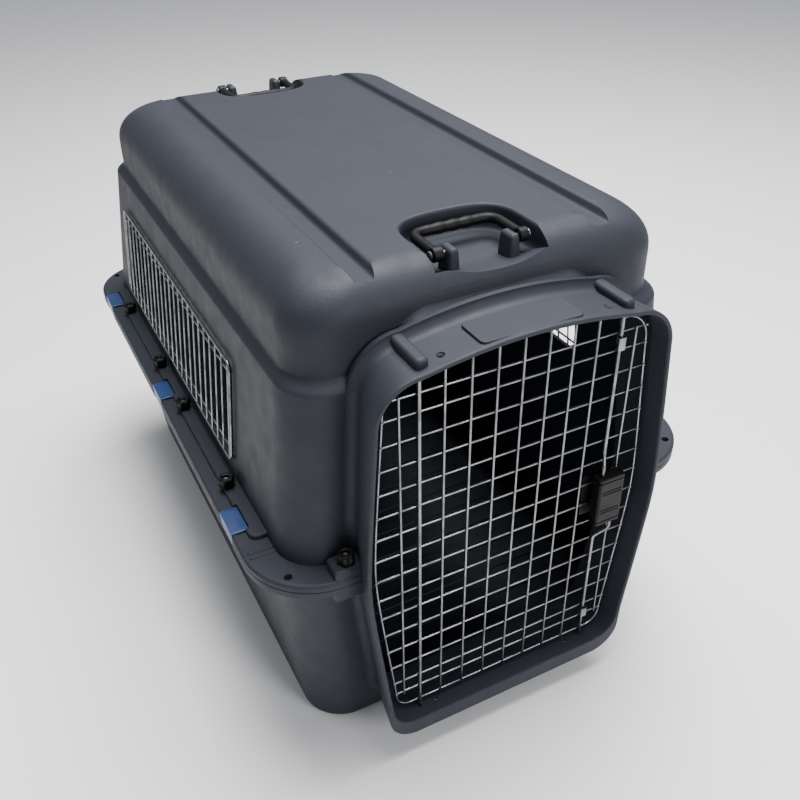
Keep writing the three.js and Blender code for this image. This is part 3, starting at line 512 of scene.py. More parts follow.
@dataclass(frozen=True)
class MouldedPlastic:
    """Injection-moulded plastic with a fine etched grain: broad soft highlights, no mirror."""

    name: str
    colour: str
    pale: str
    roughness: float
    grain_mm: float
    grain_depth_mm: float
    scuffs: float
    ior: float = 1.49
    gloss: float = 0.5

    def material(self) -> bpy.types.Material:
        """Builds the material: cloudy colour, handling scuffs, and a leather-like moulded grain.

        Returns:
            The material.
        """
        material, tree = new_tree(self.name)
        places = node(tree, "ShaderNodeTexCoord", {}).outputs["Object"]
        cloud = spread(tree, noise(tree, 90, 3, places), 0.0, 0.35)
        scuff = spread(tree, noise(tree, 14, 6, places), 0.0, self.scuffs, 0.60, 0.72)
        amount = node(
            tree, "ShaderNodeMath", {"operation": "ADD", "use_clamp": True}, {0: cloud, 1: scuff}
        ).outputs[0]
        colour = node(
            tree, "ShaderNodeMix",
            {"data_type": "RGBA", ("in", 6): linear(self.colour), ("in", 7): linear(self.pale)},
            {0: amount},
        ).outputs[2]
        rough = spread(
            tree, noise(tree, 22, 4, places), self.roughness - 0.05, self.roughness + 0.06
        )
        pebble = node(
            tree, "ShaderNodeTexVoronoi",
            {"feature": "SMOOTH_F1", ("in", "Scale"): 1 / (self.grain_mm * MM), ("in", "Smoothness"): 0.6},
            {"Vector": places},
        ).outputs["Distance"]
        fine = noise(tree, self.grain_mm * 0.45, 2, places)
        height = node(
            tree, "ShaderNodeMath", {"operation": "ADD"}, {0: pebble, 1: fine}
        ).outputs[0]
        bump = node(
            tree, "ShaderNodeBump",
            {("in", "Strength"): 0.7, ("in", "Distance"): self.grain_depth_mm * MM},
            {"Height": height},
        ).outputs["Normal"]
        shader = node(
            tree, "ShaderNodeBsdfPrincipled",
            {("in", "IOR"): self.ior, ("in", "Specular IOR Level"): self.gloss},
            {"Base Color": colour, "Roughness": rough, "Normal": bump},
        )
        node(tree, "ShaderNodeOutputMaterial", {}, {"Surface": shader.outputs[0]})
        return material


@dataclass(frozen=True)
class PlatedSteel:
    """Steel with a plated skin: a metal whose roughness varies with drawing marks and handling."""

    name: str
    colour: str
    dull: str
    roughness: float
    mark_mm: float

    def material(self) -> bpy.types.Material:
        """Builds the material: bright metal with faint dull patches and shallow drawing marks.

        Returns:
            The material.
        """
        material, tree = new_tree(self.name)
        places = node(tree, "ShaderNodeTexCoord", {}).outputs["Object"]
        patch = spread(tree, noise(tree, 17, 4, places), 0.0, 1.0, 0.42, 0.68)
        colour = node(
            tree, "ShaderNodeMix",
            {"data_type": "RGBA", ("in", 6): linear(self.colour), ("in", 7): linear(self.dull)},
            {0: patch},
        ).outputs[2]
        rough = spread(tree, patch, self.roughness, self.roughness + 0.16, 0.0, 1.0)
        bump = node(
            tree, "ShaderNodeBump",
            {("in", "Strength"): 0.35, ("in", "Distance"): 0.05 * MM},
            {"Height": noise(tree, self.mark_mm, 3, places)},
        ).outputs["Normal"]
        shader = node(
            tree, "ShaderNodeBsdfPrincipled",
            {("in", "Metallic"): 1.0},
            {"Base Color": colour, "Roughness": rough, "Normal": bump},
        )
        node(tree, "ShaderNodeOutputMaterial", {}, {"Surface": shader.outputs[0]})
        return material


# Polypropylene, moulded in an etched tool: satin, cloudy blue-grey with a pebbled grain.
# The true grain is about 1 mm; it is drawn at 2.6 mm, the finest that shows at this distance.
SHELL_PLASTIC = MouldedPlastic(
    "moulded_polypropylene", "#20232C", "#262932", 0.60, 2.6, 0.12, 0.22, 1.49, 0.32
)
# Glass-filled nylon, moulded: near black with a low sheen.
BLACK_NYLON = MouldedPlastic("moulded_nylon", "#08080A", "#0E0E11", 0.50, 1.6, 0.06, 0.4, 1.50, 0.18)
# Acetal, moulded smooth: a cleaner, glossier blue.
CLIP_ACETAL = MouldedPlastic("moulded_acetal", "#16305F", "#1F3D70", 0.40, 1.4, 0.03, 0.3, 1.48)
# Nickel-chrome plate over drawn wire: bright, slightly soft where the plate is thin.
CHROME_WIRE = PlatedSteel("chrome_plated_wire", "#88898C", "#66676A", 0.26, 1.1)
# Zinc plate: greyer and duller than chrome.
ZINC_STEEL = PlatedSteel("zinc_plated_steel", "#7C7E82", "#606266", 0.36, 0.9)


@dataclass
class Palette:
    """The carrier's finished materials, made once each and shared by its pieces."""

    made: dict[str, bpy.types.Material] = field(default_factory=dict)

    def of(self, slot: Slot) -> bpy.types.Material:
        """Gives the material of a slot, making it the first time."""
        finishes = {
            Slot.SHELL: SHELL_PLASTIC,
            Slot.CHROME: CHROME_WIRE,
            Slot.NYLON: BLACK_NYLON,
            Slot.CLIP: CLIP_ACETAL,
            Slot.ZINC: ZINC_STEEL,
        }
        if slot.value not in self.made:
            self.made[slot.value] = finishes[slot].material()
        return self.made[slot.value]

    def dress(self, obj: bpy.types.Object, slot: Slot, body: str, *stands_for: str) -> bpy.types.Object:
        """Gives a piece the material of its slot and its body, and hides the nodes that it stands for.

        Args:
            obj: The piece.
            slot: Its material slot.
            body: The body it rides on.
            stands_for: CAD nodes that it replaces.

        Returns:
            The piece.
        """
        obj.data.materials.clear()
        obj.data.materials.append(self.of(slot))
        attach(obj, body)
        if stands_for:
            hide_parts(*stands_for)
        LOG.info("%s rides on %s", obj.name, body)
        return obj


# ---------------------------------------------------------------- places taken from the frame


def corners_of(name: str) -> tuple[Array, Array]:
    """Lowest and highest corners of a CAD node, in millimetres."""
    low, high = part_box(name)
    return np.array(low) / MM, np.array(high) / MM


@dataclass
class Body:
    """Shape of the two moulded halves: plan, drafts, shoulder, roof and flange, in millimetres."""

    flange_side: float = 31
    flange_end: float = 27
    collar_reach: float = 23
    gap: float = 0.3
    wall: float = 3
    corner: float = 46
    lower_draft: float = 20
    lower_edge: float = 16
    upper_draft_side: float = 20
    upper_draft_front: float = 7
    upper_draft_rear: float = 30
    shoulder_drop: float = 92
    shoulder_step: float = 9
    shoulder_height: float = 13
    ridge_lift: float = 47
    ridge_reach: float = 132
    ridge_ease: float = 44
    roof_side: float = 48
    roof_front: float = 38
    roof_rear: float = 70
    upper_flange: float = 8
    lower_flange: float = 9
    strip_height: float = 5
    corner_clear: float = 5
    foot_step_z: float = 30
    foot_step: float = 0.7
    length: float = field(init=False)
    width: float = field(init=False)
    height: float = field(init=False)
    seam: float = field(init=False)
    mid: float = field(init=False)
    flange_x: float = field(init=False)
    flange_y: float = field(init=False)
    wall_x: float = field(init=False)
    wall_y: float = field(init=False)
    front: float = field(init=False)
    shoulder: float = field(init=False)
    upper_z: float = field(init=False)
    lower_z: float = field(init=False)
    flange_top: float = field(init=False)
    flange_bottom: float = field(init=False)

    def __post_init__(self) -> None:
        """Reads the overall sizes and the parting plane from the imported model."""
        low, high = corners_of("bottom_shell")
        top_low, top_high = corners_of("top_shell")
        self.width, self.length = float(high[0] - low[0]), float(high[1] - low[1])
        self.height = float(top_high[2])
        self.seam = float(top_low[2] - self.gap / 2)
        self.mid = self.collar_reach / 2
        self.flange_x = self.width / 2
        self.flange_y = (self.length - self.collar_reach) / 2
        self.wall_x = self.flange_x - self.flange_side
        self.wall_y = self.flange_y - self.flange_end
        self.front = -self.length / 2
        self.shoulder = self.height - self.shoulder_drop
        self.upper_z = self.seam + self.gap / 2
        self.lower_z = self.seam - self.gap / 2
        self.flange_top = self.upper_z + self.upper_flange
        self.flange_bottom = self.lower_z - self.lower_flange

    def plan(self, half_x: float, half_y: float, radius: float) -> Array:
        """Plan of a half about its own middle, closely spaced across the ends."""
        return rounded_rectangle(half_x, half_y, radius, 15, 62, 24)

    def ridge(self, plan: Array) -> Array:
        """Height of the shoulder ridge at each point of the plan.

        It is level round the sides and the rear. Across the front it eases up, by a smooth step
        in the distance from the middle, to pass over the collar.

        Args:
            plan: Points of shape (n, 2).

        Returns:
            Heights of shape (n,).
        """
        reach = (self.ridge_reach + self.ridge_ease - np.abs(plan[:, 0])) / (2 * self.ridge_ease)
        reach = np.clip(reach, 0, 1)
        ease = reach * reach * (3 - 2 * reach)
        front = np.clip((-plan[:, 1] - (self.wall_y - self.corner)) / self.corner, 0, 1)
        return self.shoulder - 4 + self.ridge_lift * ease * front**2

    def stack(self, plan: Array, heights: Array, in_x: Array, in_y: Array) -> Array:
        """Stacks the plan at many heights, its four sides drawn in by in_x and in_y.

        Args:
            plan: Points of shape (n, 2).
            heights: Heights of shape (levels, n) or (levels, 1).
            in_x: Draw along X, of the same shape.
            in_y: Draw along Y, of the same shape.

        Returns:
            Rings of shape (levels, n, 3).
        """
        straight_half = np.array([self.wall_x, self.wall_y]) - self.corner - self.corner_clear
        share = np.clip(plan / straight_half, -1, 1)
        shape = np.broadcast_shapes(heights.shape, (1, len(plan)))
        rings = np.empty((*shape, 3))
        rings[..., 0] = plan[:, 0] - share[:, 0] * in_x
        rings[..., 1] = plan[:, 1] - share[:, 1] * in_y + self.mid
        rings[..., 2] = heights
        return rings

    def upper(self, inset: float = 0.0, start: float | None = None) -> Shape:
        """Upper half without its flange: drafted wall, stepped shoulder, wall, rounded roof.

        The wall leans in by its draft up to the ridge. There a smooth step carries it in over the
        shoulder's height. Above, a quarter circle carries each wall over into the roof.

        Args:
            inset: How far the surface lies inside the outer one.
            start: Height of the lowest ring, the parting plane if not given.

        Returns:
            The closed shape.
        """
        plan = self.plan(self.wall_x, self.wall_y, self.corner)
        ridge = self.ridge(plan) - inset * 0.6
        foot = self.upper_z if start is None else start
        climb = np.linspace(0, 1, 9)[:, None]
        wall_z = foot + (ridge - foot) * climb
        step = np.linspace(0, 1, 11)[1:, None]
        step_z = ridge + self.shoulder_height * step
        ease = np.concatenate([np.zeros((9, 1)), step * step * (3 - 2 * step)])
        lean = np.concatenate([climb, np.ones((10, 1))])
        top = self.height - inset
        sweep = np.sin(np.radians(np.linspace(0, 90, 19)))[:, None]
        roof_z = top - (self.roof_rear - inset) * (1 - sweep)
        roof_z = np.maximum(roof_z, (ridge + self.shoulder_height)[None] + 0.3 + 0.4 * sweep)
        z = np.concatenate([wall_z, step_z, np.minimum(roof_z, top)])
        ease = np.concatenate([ease, np.ones((19, 1))])
        lean = np.concatenate([lean, np.ones((19, 1))])

        def draw(draft: float, radius: float) -> Array:
            """How far one wall is drawn in: its draft, the shoulder's step and the roof's edge."""
            bend = radius - inset
            rise = np.clip(z - (top - bend), 0, bend)
            return inset + draft * lean + self.shoulder_step * ease + bend - np.sqrt(bend**2 - rise**2)

        front = draw(self.upper_draft_front, self.roof_front)
        rear = draw(self.upper_draft_rear, self.roof_rear)
        in_y = np.where(plan[:, 1] > 0, rear, front)
        rings = self.stack(plan, z, draw(self.upper_draft_side, self.roof_side), in_y)
        lid = rings[-1].copy()
        lid[:, 0] *= 0.985
        lid[:, 1] = self.mid + (lid[:, 1] - self.mid) * 0.993
        return skin(np.concatenate([rings, lid[None]]))

    def lower(self, inset: float = 0.0, end: float | None = None) -> Shape:
        """Lower half without its flange: rounded foot, faint step, drafted wall.

        Args:
            inset: How far the surface lies inside the outer one.
            end: Height of the highest ring, the parting plane if not given.

        Returns:
            The closed shape.
        """
        plan = self.plan(self.wall_x, self.wall_y, self.corner)
        radius = self.lower_edge - inset
        turn = arc(90, 0, 9)
        foot_z = inset + radius * (1 - turn[:, 1])
        foot_in = inset + self.lower_draft + radius * (1 - turn[:, 0])
        rise = self.lower_z - self.lower_edge
        step = self.foot_step if inset == 0 else 0.0
        wall_z = np.array([self.foot_step_z, self.foot_step_z + 1.2, 90, 150, 210, self.lower_z])
        wall_in = inset + self.lower_draft * (1 - (wall_z - self.lower_edge) / rise)
        wall_in[0] += step
        foot_in = foot_in + step
        z = np.concatenate([foot_z, wall_z])
        draw = np.concatenate([foot_in, wall_in])
        if end is not None:
            z, draw = np.append(z, end), np.append(draw, inset)
        return skin(self.stack(plan, z[:, None], draw[:, None], draw[:, None]))

    def plate(self, low: float, high: float, lower_edge: float, upper_edge: float) -> Shape:
        """Flange of one half: its plan between two heights, with both rims rounded.

        Args:
            low: Underside.
            high: Top face.
            lower_edge: Radius of the lower rim.
            upper_edge: Radius of the upper rim.

        Returns:
            The closed shape.
        """
        turn = np.radians(np.linspace(0, 90, 6))
        z = np.concatenate([low + lower_edge * (1 - np.cos(turn)), high - upper_edge * (1 - np.sin(turn))])
        draw = np.concatenate([lower_edge * (1 - np.sin(turn)), upper_edge * (1 - np.cos(turn))])
        plan = self.plan(self.flange_x, self.flange_y, self.corner + self.flange_side)
        return skin(self.stack(plan, z[:, None], draw[:, None], draw[:, None]))

    def front_wall(self, z: Array) -> Array:
        """Place along Y of the front wall's outer face at each height."""
        below = self.lower_draft * np.clip((self.seam - z) / (self.seam - self.lower_edge), 0, 1)
        above = self.upper_draft_front * np.clip((z - self.seam) / (self.shoulder - self.seam), 0, 1)
        return self.mid - self.wall_y + below + above


@dataclass
class Doorway:
    """Outline of the doorway and the collar that frames it, in millimetres."""

    body: Body
    margin: float = 62
    in_top: float = 15
    in_sill: float = 22
    drop: float = 53
    arch_rise: float = 12
    sill: float = 53
    lip: float = 21
    top_r: float = 41
    sill_r: float = 30
    rim: float = 5
    flare: float = 0.06
    bow: float = 34
    fillet: float = 11
    seam_half: float = field(init=False)
    top_half: float = field(init=False)
    sill_half: float = field(init=False)
    crown: float = field(init=False)
    spring: float = field(init=False)
    corner_x: float = field(init=False)
    depth: float = field(init=False)

    def __post_init__(self) -> None:
        """Works out the outline's places from the body."""
        self.seam_half = self.body.wall_x - self.margin
        self.top_half = self.seam_half - self.in_top
        self.sill_half = self.seam_half - self.in_sill
        self.crown = self.body.height - self.drop
        self.spring = self.crown - self.arch_rise
        self.corner_x = self.top_half - self.top_r
        self.depth = self.body.collar_reach + self.body.flange_end

    def arch(self, x: Array | float) -> Array:
        """Height of the doorway's arch, a shallow parabola between its corners."""
        share = np.minimum(np.abs(x), self.corner_x) / self.corner_x
        return self.crown - self.arch_rise * share**2

    def half(self, z: Array) -> Array:
        """Half width at each height: two straight leans, blended over the bow's length."""
        up = self.in_top / (self.spring - self.top_r - self.body.seam)
        down = self.in_sill / (self.body.seam - self.sill - self.sill_r)
        u = z - self.body.seam
        soft = np.sqrt(u * u + self.bow**2)
        return self.seam_half - up * (u + soft - self.bow) / 2 - down * (soft - self.bow - u) / 2

    def outline(self, grow: float, drop: float) -> Array:
        """Outline in X and Z, grown outwards, with its sill lowered by its own amount.

        Args:
            grow: How far the sides and the arch move out.
            drop: How far the sill moves down.

        Returns:
            Points of shape (n, 2), from the right end of the sill, anticlockwise.
        """
        side_z = np.linspace(self.sill + self.sill_r, self.spring - self.top_r, 40)
        right = np.column_stack([self.half(side_z) + grow, side_z])
        right[0, 1] = self.sill - drop + self.sill_r + grow
        top_x = right[-1, 0] - self.top_r - grow
        top = np.array([top_x, self.spring - self.top_r]) + (self.top_r + grow) * arc(0, 90, 15)[1:]
        x = np.linspace(top_x, -top_x, 45)[1:-1]
        crown = np.column_stack([x, self.arch(x * self.corner_x / top_x) + grow])
        left = right[::-1] * (-1, 1)
        turn = self.sill_r + grow
        low = np.array([-right[0, 0] + turn, self.sill - drop + turn]) + turn * arc(180, 270, 13)[1:]
        return np.vstack([right, top, crown, (top * (-1, 1))[::-1], left, low, (low * (-1, 1))[::-1]])

    def rings(self, rows: list[tuple[float, float, Array]]) -> Array:
        """Rings of the outline at many depths, with the sides closing in towards the rear.

        Args:
            rows: Growth, sill drop and place along Y, one value or one for each point.

        Returns:
            Rings of shape (rows, n, 3).
        """
        made = []
        for grow, drop, y in rows:
            flat = self.outline(grow, drop)
            depth = np.broadcast_to(np.asarray(y, float), (len(flat),))
            back = (depth - self.body.front) / self.depth
            made.append(np.column_stack([flat[:, 0] * (1 - self.flare * back), depth, flat[:, 1]]))
        return np.array(made)

    def opening(self) -> Shape:
        """Solid that cuts the doorway, flared at the collar's mouth."""
        front = self.body.front
        rows = [(1.6, 1.6, front - 4), (1.6, 1.6, front - 0.2), (0.5, 0.5, front + 0.9),
                (0, 0, front + 2.4), (0, 0, front + 52), (0, 0, front + 104)]
        return skin(self.rings(rows))

    def collar(self) -> Shape:
        """Solid collar: rounded rim, straight sides, then a fillet that flares into the wall."""
        front = self.body.front
        wall = self.body.front_wall(self.outline(self.rim, self.lip)[:, 1])
        rows = [(-1, -1, front + 0.4), (self.rim - 2.4, self.lip - 2.4, front),
                (self.rim - 1.1, self.lip - 1.1, front + 0.35), (self.rim - 0.3, self.lip - 0.3, front + 1.2),
                (self.rim, self.lip, front + 2.5), (self.rim, self.lip, front + 12)]
        for turn in np.radians(np.linspace(0, 90, 8)):
            out = self.fillet * (1 - math.cos(turn))
            reach = self.fillet * (1 - math.sin(turn))
            rows.append((self.rim + out, self.lip + out, wall - reach))
        rows.append((self.rim + self.fillet, self.lip + self.fillet, wall + 6))
        return skin(self.rings(rows))


def prism(flat: Array, start: float, end: float, along: int) -> Shape:
    """Solid of one outline between two places along an axis.

    Args:
        flat: Outline of shape (n, 2) in the two other axes, in their order.
        start: First place.
        end: Last place.
        along: Axis number.

    Returns:
        The closed shape.
    """
    rings = np.empty((2, len(flat), 3))
    others = [axis for axis in range(3) if axis != along]
    rings[:, :, others[0]] = flat[:, 0]
    rings[:, :, others[1]] = flat[:, 1]
    rings[0, :, along], rings[1, :, along] = start, end
    return skin(rings)


@dataclass
class Roof:
    """Channels, handle recesses and pivot bosses of the roof, in millimetres."""

    body: Body
    groove_x: float = 123
    groove_half: float = 12
    groove_depth: float = 8
    recess_half: float = 59
    recess_length: float = 108
    recess_depth: float = 26
    recess_shy: float = 4
    curve: float = 45
    squareness: float = 2.9
    boss_length: float = 14
    boss_half_y: float = 12
    lip_start: float = -298
    lip_length: float = 42
    gate_marks: tuple[tuple[float, float], ...] = ((-150, -240), (160, -242), (2, 2), (4, -120))

    def grooves(self, grow: float = 0.0) -> list[Shape]:
        """Two long channel cutters with a rounded lip and a rounded floor, one on each side."""
        top, floor = self.body.height, self.body.height - self.groove_depth - grow
        half = self.groove_half + grow
        rise = np.array([0, 0.3, 1.1, 2.4, 5.2, 6.6, 7.5, 8.0, 20]) * (top - floor) / 8
        out = np.array([-6.2, -4.6, -3.1, -2.0, -0.6, 0.3, 1.6, 3.4, 9.0])
        right = np.column_stack([half + out, floor + rise])
        flat = np.vstack([right, (right * (-1, 1))[::-1]])
        reach = self.body.wall_y + 20
        ends = (self.body.mid - reach, self.body.mid + reach)
        return [prism(flat + (side * self.groove_x, 0), *ends, 1) for side in (-1, 1)]

    def recess(self, end: int, grow: float = 0.0) -> Shape:
        """Cutter of one handle recess, open towards its end of the roof.

        In plan the inner end is half a superellipse. The floor meets the walls in a fillet, and the lip
        flares out at the roof.

        Args:
            end: -1 for the front, 1 for the rear.
            grow: How far the cutter is grown for the matching inside face.

        Returns:
            The closed shape.
        """
        top, floor = self.body.height, self.body.height - self.recess_depth - grow
        draft = self.body.upper_draft_front if end < 0 else self.body.upper_draft_rear
        inner = self.body.wall_y - draft - self.body.shoulder_step - self.recess_length + self.recess_shy
        rise = np.array([0, 0.4, 1.6, 4, 8, 15, 22, 24.3, 25.4, 26, 40])
        draw = np.array([7.5, 4.6, 2.4, 0.9, 0.2, 0, -0.2, -0.9, -2.0, -3.6, -9])
        rise = rise * (top - floor) / self.recess_depth
        rings = []
        for up, inset in zip(rise, draw - grow):
            turn = arc(0, 180, 41)
            power = 2 / self.squareness
            x = (self.recess_half - inset) * np.sign(turn[:, 0]) * np.abs(turn[:, 0]) ** power
            d = inner + self.curve - (self.curve - inset) * np.abs(turn[:, 1]) ** power
            x = np.concatenate([x, np.linspace(x[-1], x[0], 12)])
            d = np.concatenate([d, np.full(12, inner + self.curve + 90)])
            y = self.body.mid + end * d
            rings.append(np.column_stack([x, y, np.full(len(x), floor + up)]))
        return skin(np.array(rings))

    def lip(self) -> Shape:
        """Dished ramp from the front recess's floor up to the roof's rounded edge."""
        floor = self.body.height - self.recess_depth
        x = np.linspace(-self.recess_half - 2, self.recess_half + 2, 41)
        rings = []
        for along in np.linspace(0, 1, 13):
            ease = along * along * (3 - 2 * along)
            rise = (5.5 + 8 * np.minimum(1, np.abs(x - 6) / 48) ** 2.4) * ease
            y = self.lip_start - along * self.lip_length
            top = np.column_stack([x, np.full(len(x), y), floor + rise])
            foot = np.array([(x[-1], y, floor - 6), (x[0], y, floor - 6)])
            rings.append(np.vstack([top, foot]))
        ramp = skin(np.array(rings))
        return shape_of(carved("lip", ramp, [(Carve.KEEP, self.body.upper())]))

    def bosses(self) -> list[Shape]:
        """Four pivot bosses: blocks with rounded edges that lean in towards their tops."""
        made = []
        for end in ("front", "rear"):
            low, high = corners_of(f"{end}_handle_pin_a")
            _, eye_high = corners_of(f"{end}_handle")
            pivot_y, pivot_z = (low[1] + high[1]) / 2, (low[2] + high[2]) / 2
            outer = eye_high[0] - 12
            floor = self.body.height - self.recess_depth
            block_low = (outer - self.boss_length, pivot_y - self.boss_half_y, floor - 1.5)
            one = block(block_low, (outer, pivot_y + self.boss_half_y, pivot_z + 6), 5, 4, 2.4)
            made += [one, mirrored(one, 0)]
        return made

    def marks(self) -> Shape:
        """Cutter of four shallow dimples left by the mould's gates."""
        centres = np.array([(x, y, self.body.height + 0.3) for x, y in self.gate_marks], float)
        return beads(centres, (4.0, 4.0, 0.9))


@dataclass
class Shells:
    """The two moulded halves of the carrier."""

    body: Body
    doorway: Doorway
    roof: Roof
    palette: Palette
    hole_r: float = 2.4
    bolt_hole_r: float = 3.7
    notch_half: float = 19.8
    notch_depth: float = 7.2
    clip_tab: float = 12
    vent_lap: float = 6
    rib_pitch: float = 44
    rib_width: float = 20
    rib_height: float = 2.2
    spare_in: float = 20
    spare_r: float = 4.2
    spare_x: float = 228
    spare_front: float = -352
    spare_rear: float = 375
    strip_in: float = 92
    cross_y: float = -308.5
    cross_apart: float = 3.6
    plaque_half: float = 53

    def half_space(self, low: float, high: float) -> Shape:
        """Wide slab between two heights."""
        reach = self.body.length
        square = np.array([(-reach, -reach), (reach, -reach), (reach, reach), (-reach, reach)])
        return prism(square, low, high, 2)

    def upright(self, x: float, y: float, low: float, high: float, radius: float) -> Shape:
        """Round upright cutter with flat ends."""
        return moved(turning([(radius, low), (radius, high)], 20), (x, y, 0))

    def fastener_holes(self) -> list[Shape]:
        """A bore for each bolt and one spare hole at each corner of the flange."""
        made = []
        for side in ("left", "right"):
            for place in ("1", "2", "3", "4", "front", "rear"):
                low, high = corners_of(f"bolt_{side}_{place}")
                x, y = (low[:2] + high[:2]) / 2
                made.append(self.upright(x, y, self.body.flange_bottom - 2, high[2] + 4, self.bolt_hole_r))
        for y in (self.spare_front, self.spare_rear):
            for x in (-self.spare_x, self.spare_x):
                foot, head = self.body.flange_bottom - 2, self.body.flange_top + 3
                made.append(self.upright(x, y, foot, head, self.spare_r))
        return made

    def rod_holes(self) -> list[Shape]:
        """Bores in the sill and the collar's posts, with the spare pair inside them."""
        low, high = corners_of("hinge_rod")
        x, y = (low[:2] + high[:2]) / 2
        made = []
        for side in (-1, 1):
            made.append(self.upright(side * x, y, low[2] - 20, high[2] + 1.5, self.hole_r))
            inner = side * (abs(x) - self.spare_in)
            made.append(self.upright(inner, y, low[2] - 20, self.doorway.crown + 12, self.hole_r))
            mouth = float(self.doorway.arch(inner)) + self.doorway.rim
            sink = turning([(self.hole_r - 0.6, mouth - 2.5), (4.2, mouth - 0.4), (4.6, mouth + 4)], 24)
            made.append(moved(sink, (inner, y, 0)))
        return made

    def clip_cuts(self, seats: bool) -> list[Shape]:
        """Notches in the flange's rim for the clips, or the shallow seats under their tabs."""
        made = []
        top = self.body.flange_top + self.body.strip_height + 2
        for side_name, side in (("left", -1), ("right", 1)):
            for place in ("front", "middle", "rear"):
                low, high = corners_of(f"rim_clip_{side_name}_{place}")
                y = (low[1] + high[1]) / 2
                depth = self.notch_depth + (self.clip_tab + 0.3 if seats else 0)
                edges = sorted((side * (self.body.flange_x - depth), side * (self.body.flange_x + 3)))
                floor = self.body.flange_top if seats else self.body.flange_bottom - 3
                made.append(block((edges[0], y - self.notch_half, floor),
                                  (edges[1], y + self.notch_half, top), 1.2, 0.05))
        return made

    def windows(self) -> list[Shape]:
        """Openings behind the side vents and the rear vent, with rounded corners."""
        made = []
        low, high = corners_of("left_vent_grille")
        middle = (low + high) / 2
        half_y, half_z = (high - low)[1] / 2 - self.vent_lap, (high - low)[2] / 2 - self.vent_lap
        flat = rounded_rectangle(half_y, half_z, 7, 7) + middle[[1, 2]]
        made.append(prism(flat, -self.body.width, self.body.width, 0))
        low, high = corners_of("rear_vent_grille")
        half_x = (high - low)[0] / 2 - self.vent_lap
        flat = rounded_rectangle(half_x, half_z, 7, 7) + np.array([0, middle[2]])
        made.append(prism(flat, self.body.wall_y / 2, self.body.length, 1))
        return made

    def additions(self) -> list[Shape]:
        """Strips, corner bosses, rod posts and cross ridges that stand on the upper half."""
        made = []
        b = self.body
        strip_y = b.flange_y - self.strip_in
        for side in (-1, 1):
            edges = sorted((side * (b.wall_x - 20), side * (b.wall_x + 16)))
            made.append(block((edges[0], b.mid - strip_y, b.upper_z + 1),
                              (edges[1], b.mid + strip_y, b.flange_top + b.strip_height), 9, 2.6))
            for end in ("front", "rear"):
                name = "left" if side < 0 else "right"
                low, high = corners_of(f"hand_nut_{name}_{end}")
                x, way = (low[0] + high[0]) / 2, -1 if end == "front" else 1
                ends = sorted((b.mid + way * (b.flange_y - 1), b.mid + way * (b.wall_y - 2)))
                made.append(block((x - 17.5, ends[0], b.upper_z + 1),
                                  (x + 17.5, ends[1], low[2] - b.gap), 5, 2.4, 2.0))
            ridge = sorted((side * (b.wall_x - 4), side * (b.flange_x - 6)))
            for y in (self.cross_y - self.cross_apart, self.cross_y + self.cross_apart):
                made.append(block((ridge[0], y - 2, b.flange_top - 2),
                                  (ridge[1], y + 2, b.flange_top + 1.1), 2, 1.0))
        low, high = corners_of("hinge_rod")
        x = abs(low[0] + high[0]) / 2
        base = float(self.doorway.arch(x))
        for side in (-1, 1):
            made.append(block((side * x - 6.5, b.front + 9, base + 1),
                              (side * x + 6.5, b.mid - b.wall_y + 14, base + 14), 4.5, 4.2))
        made.append(block((-self.plaque_half, b.front + 5, self.doorway.crown - 3),
                          (self.plaque_half, b.front + 44, self.doorway.crown + 4.9), 6, 1.2))
        return made

    def cavity(self) -> Shape:
        """Inside of the upper half, kept a wall away from the channels and recesses."""
        wall = self.body.wall
        inside = self.body.upper(wall, self.body.upper_z - wall)
        cuts = [(Carve.CUT, shape) for shape in self.roof.grooves(wall)]
        cuts += [(Carve.CUT, self.roof.recess(end, wall)) for end in (-1, 1)]
        return shape_of(carved("cavity", inside, cuts))

    def collar_part(self, low: float, high: float) -> Shape:
        """Collar between two heights."""
        return shape_of(carved("collar", self.doorway.collar(), [(Carve.KEEP, self.half_space(low, high))]))

    def build_top(self) -> bpy.types.Object:
        """Builds the upper half: outside joined and cut, then hollowed, then bored."""
        b = self.body
        steps = [(Carve.JOIN, b.plate(b.upper_z, b.flange_top, 0.6, 3.4))]
        steps.append((Carve.JOIN, self.collar_part(b.upper_z, b.height)))
        steps += [(Carve.JOIN, shape) for shape in self.additions()]
        steps += [(Carve.CUT, shape) for shape in self.roof.grooves()]
        steps += [(Carve.CUT, self.roof.recess(end)) for end in (-1, 1)]
        steps.append((Carve.JOIN, self.roof.lip()))
        steps.append((Carve.CUT, self.cavity()))
        steps += [(Carve.JOIN, shape) for shape in self.roof.bosses()]
        openings = (self.doorway.opening(), self.roof.marks(), *self.windows())
        steps += [(Carve.CUT, shape) for shape in openings]
        steps += [(Carve.CUT, shape) for shape in self.rod_holes() + self.fastener_holes()]
        steps += [(Carve.CUT, shape) for shape in self.clip_cuts(False) + self.clip_cuts(True)]
        top = carved("upper_shell", b.upper(), steps)
        return self.palette.dress(top, Slot.SHELL, "root", "top_shell")

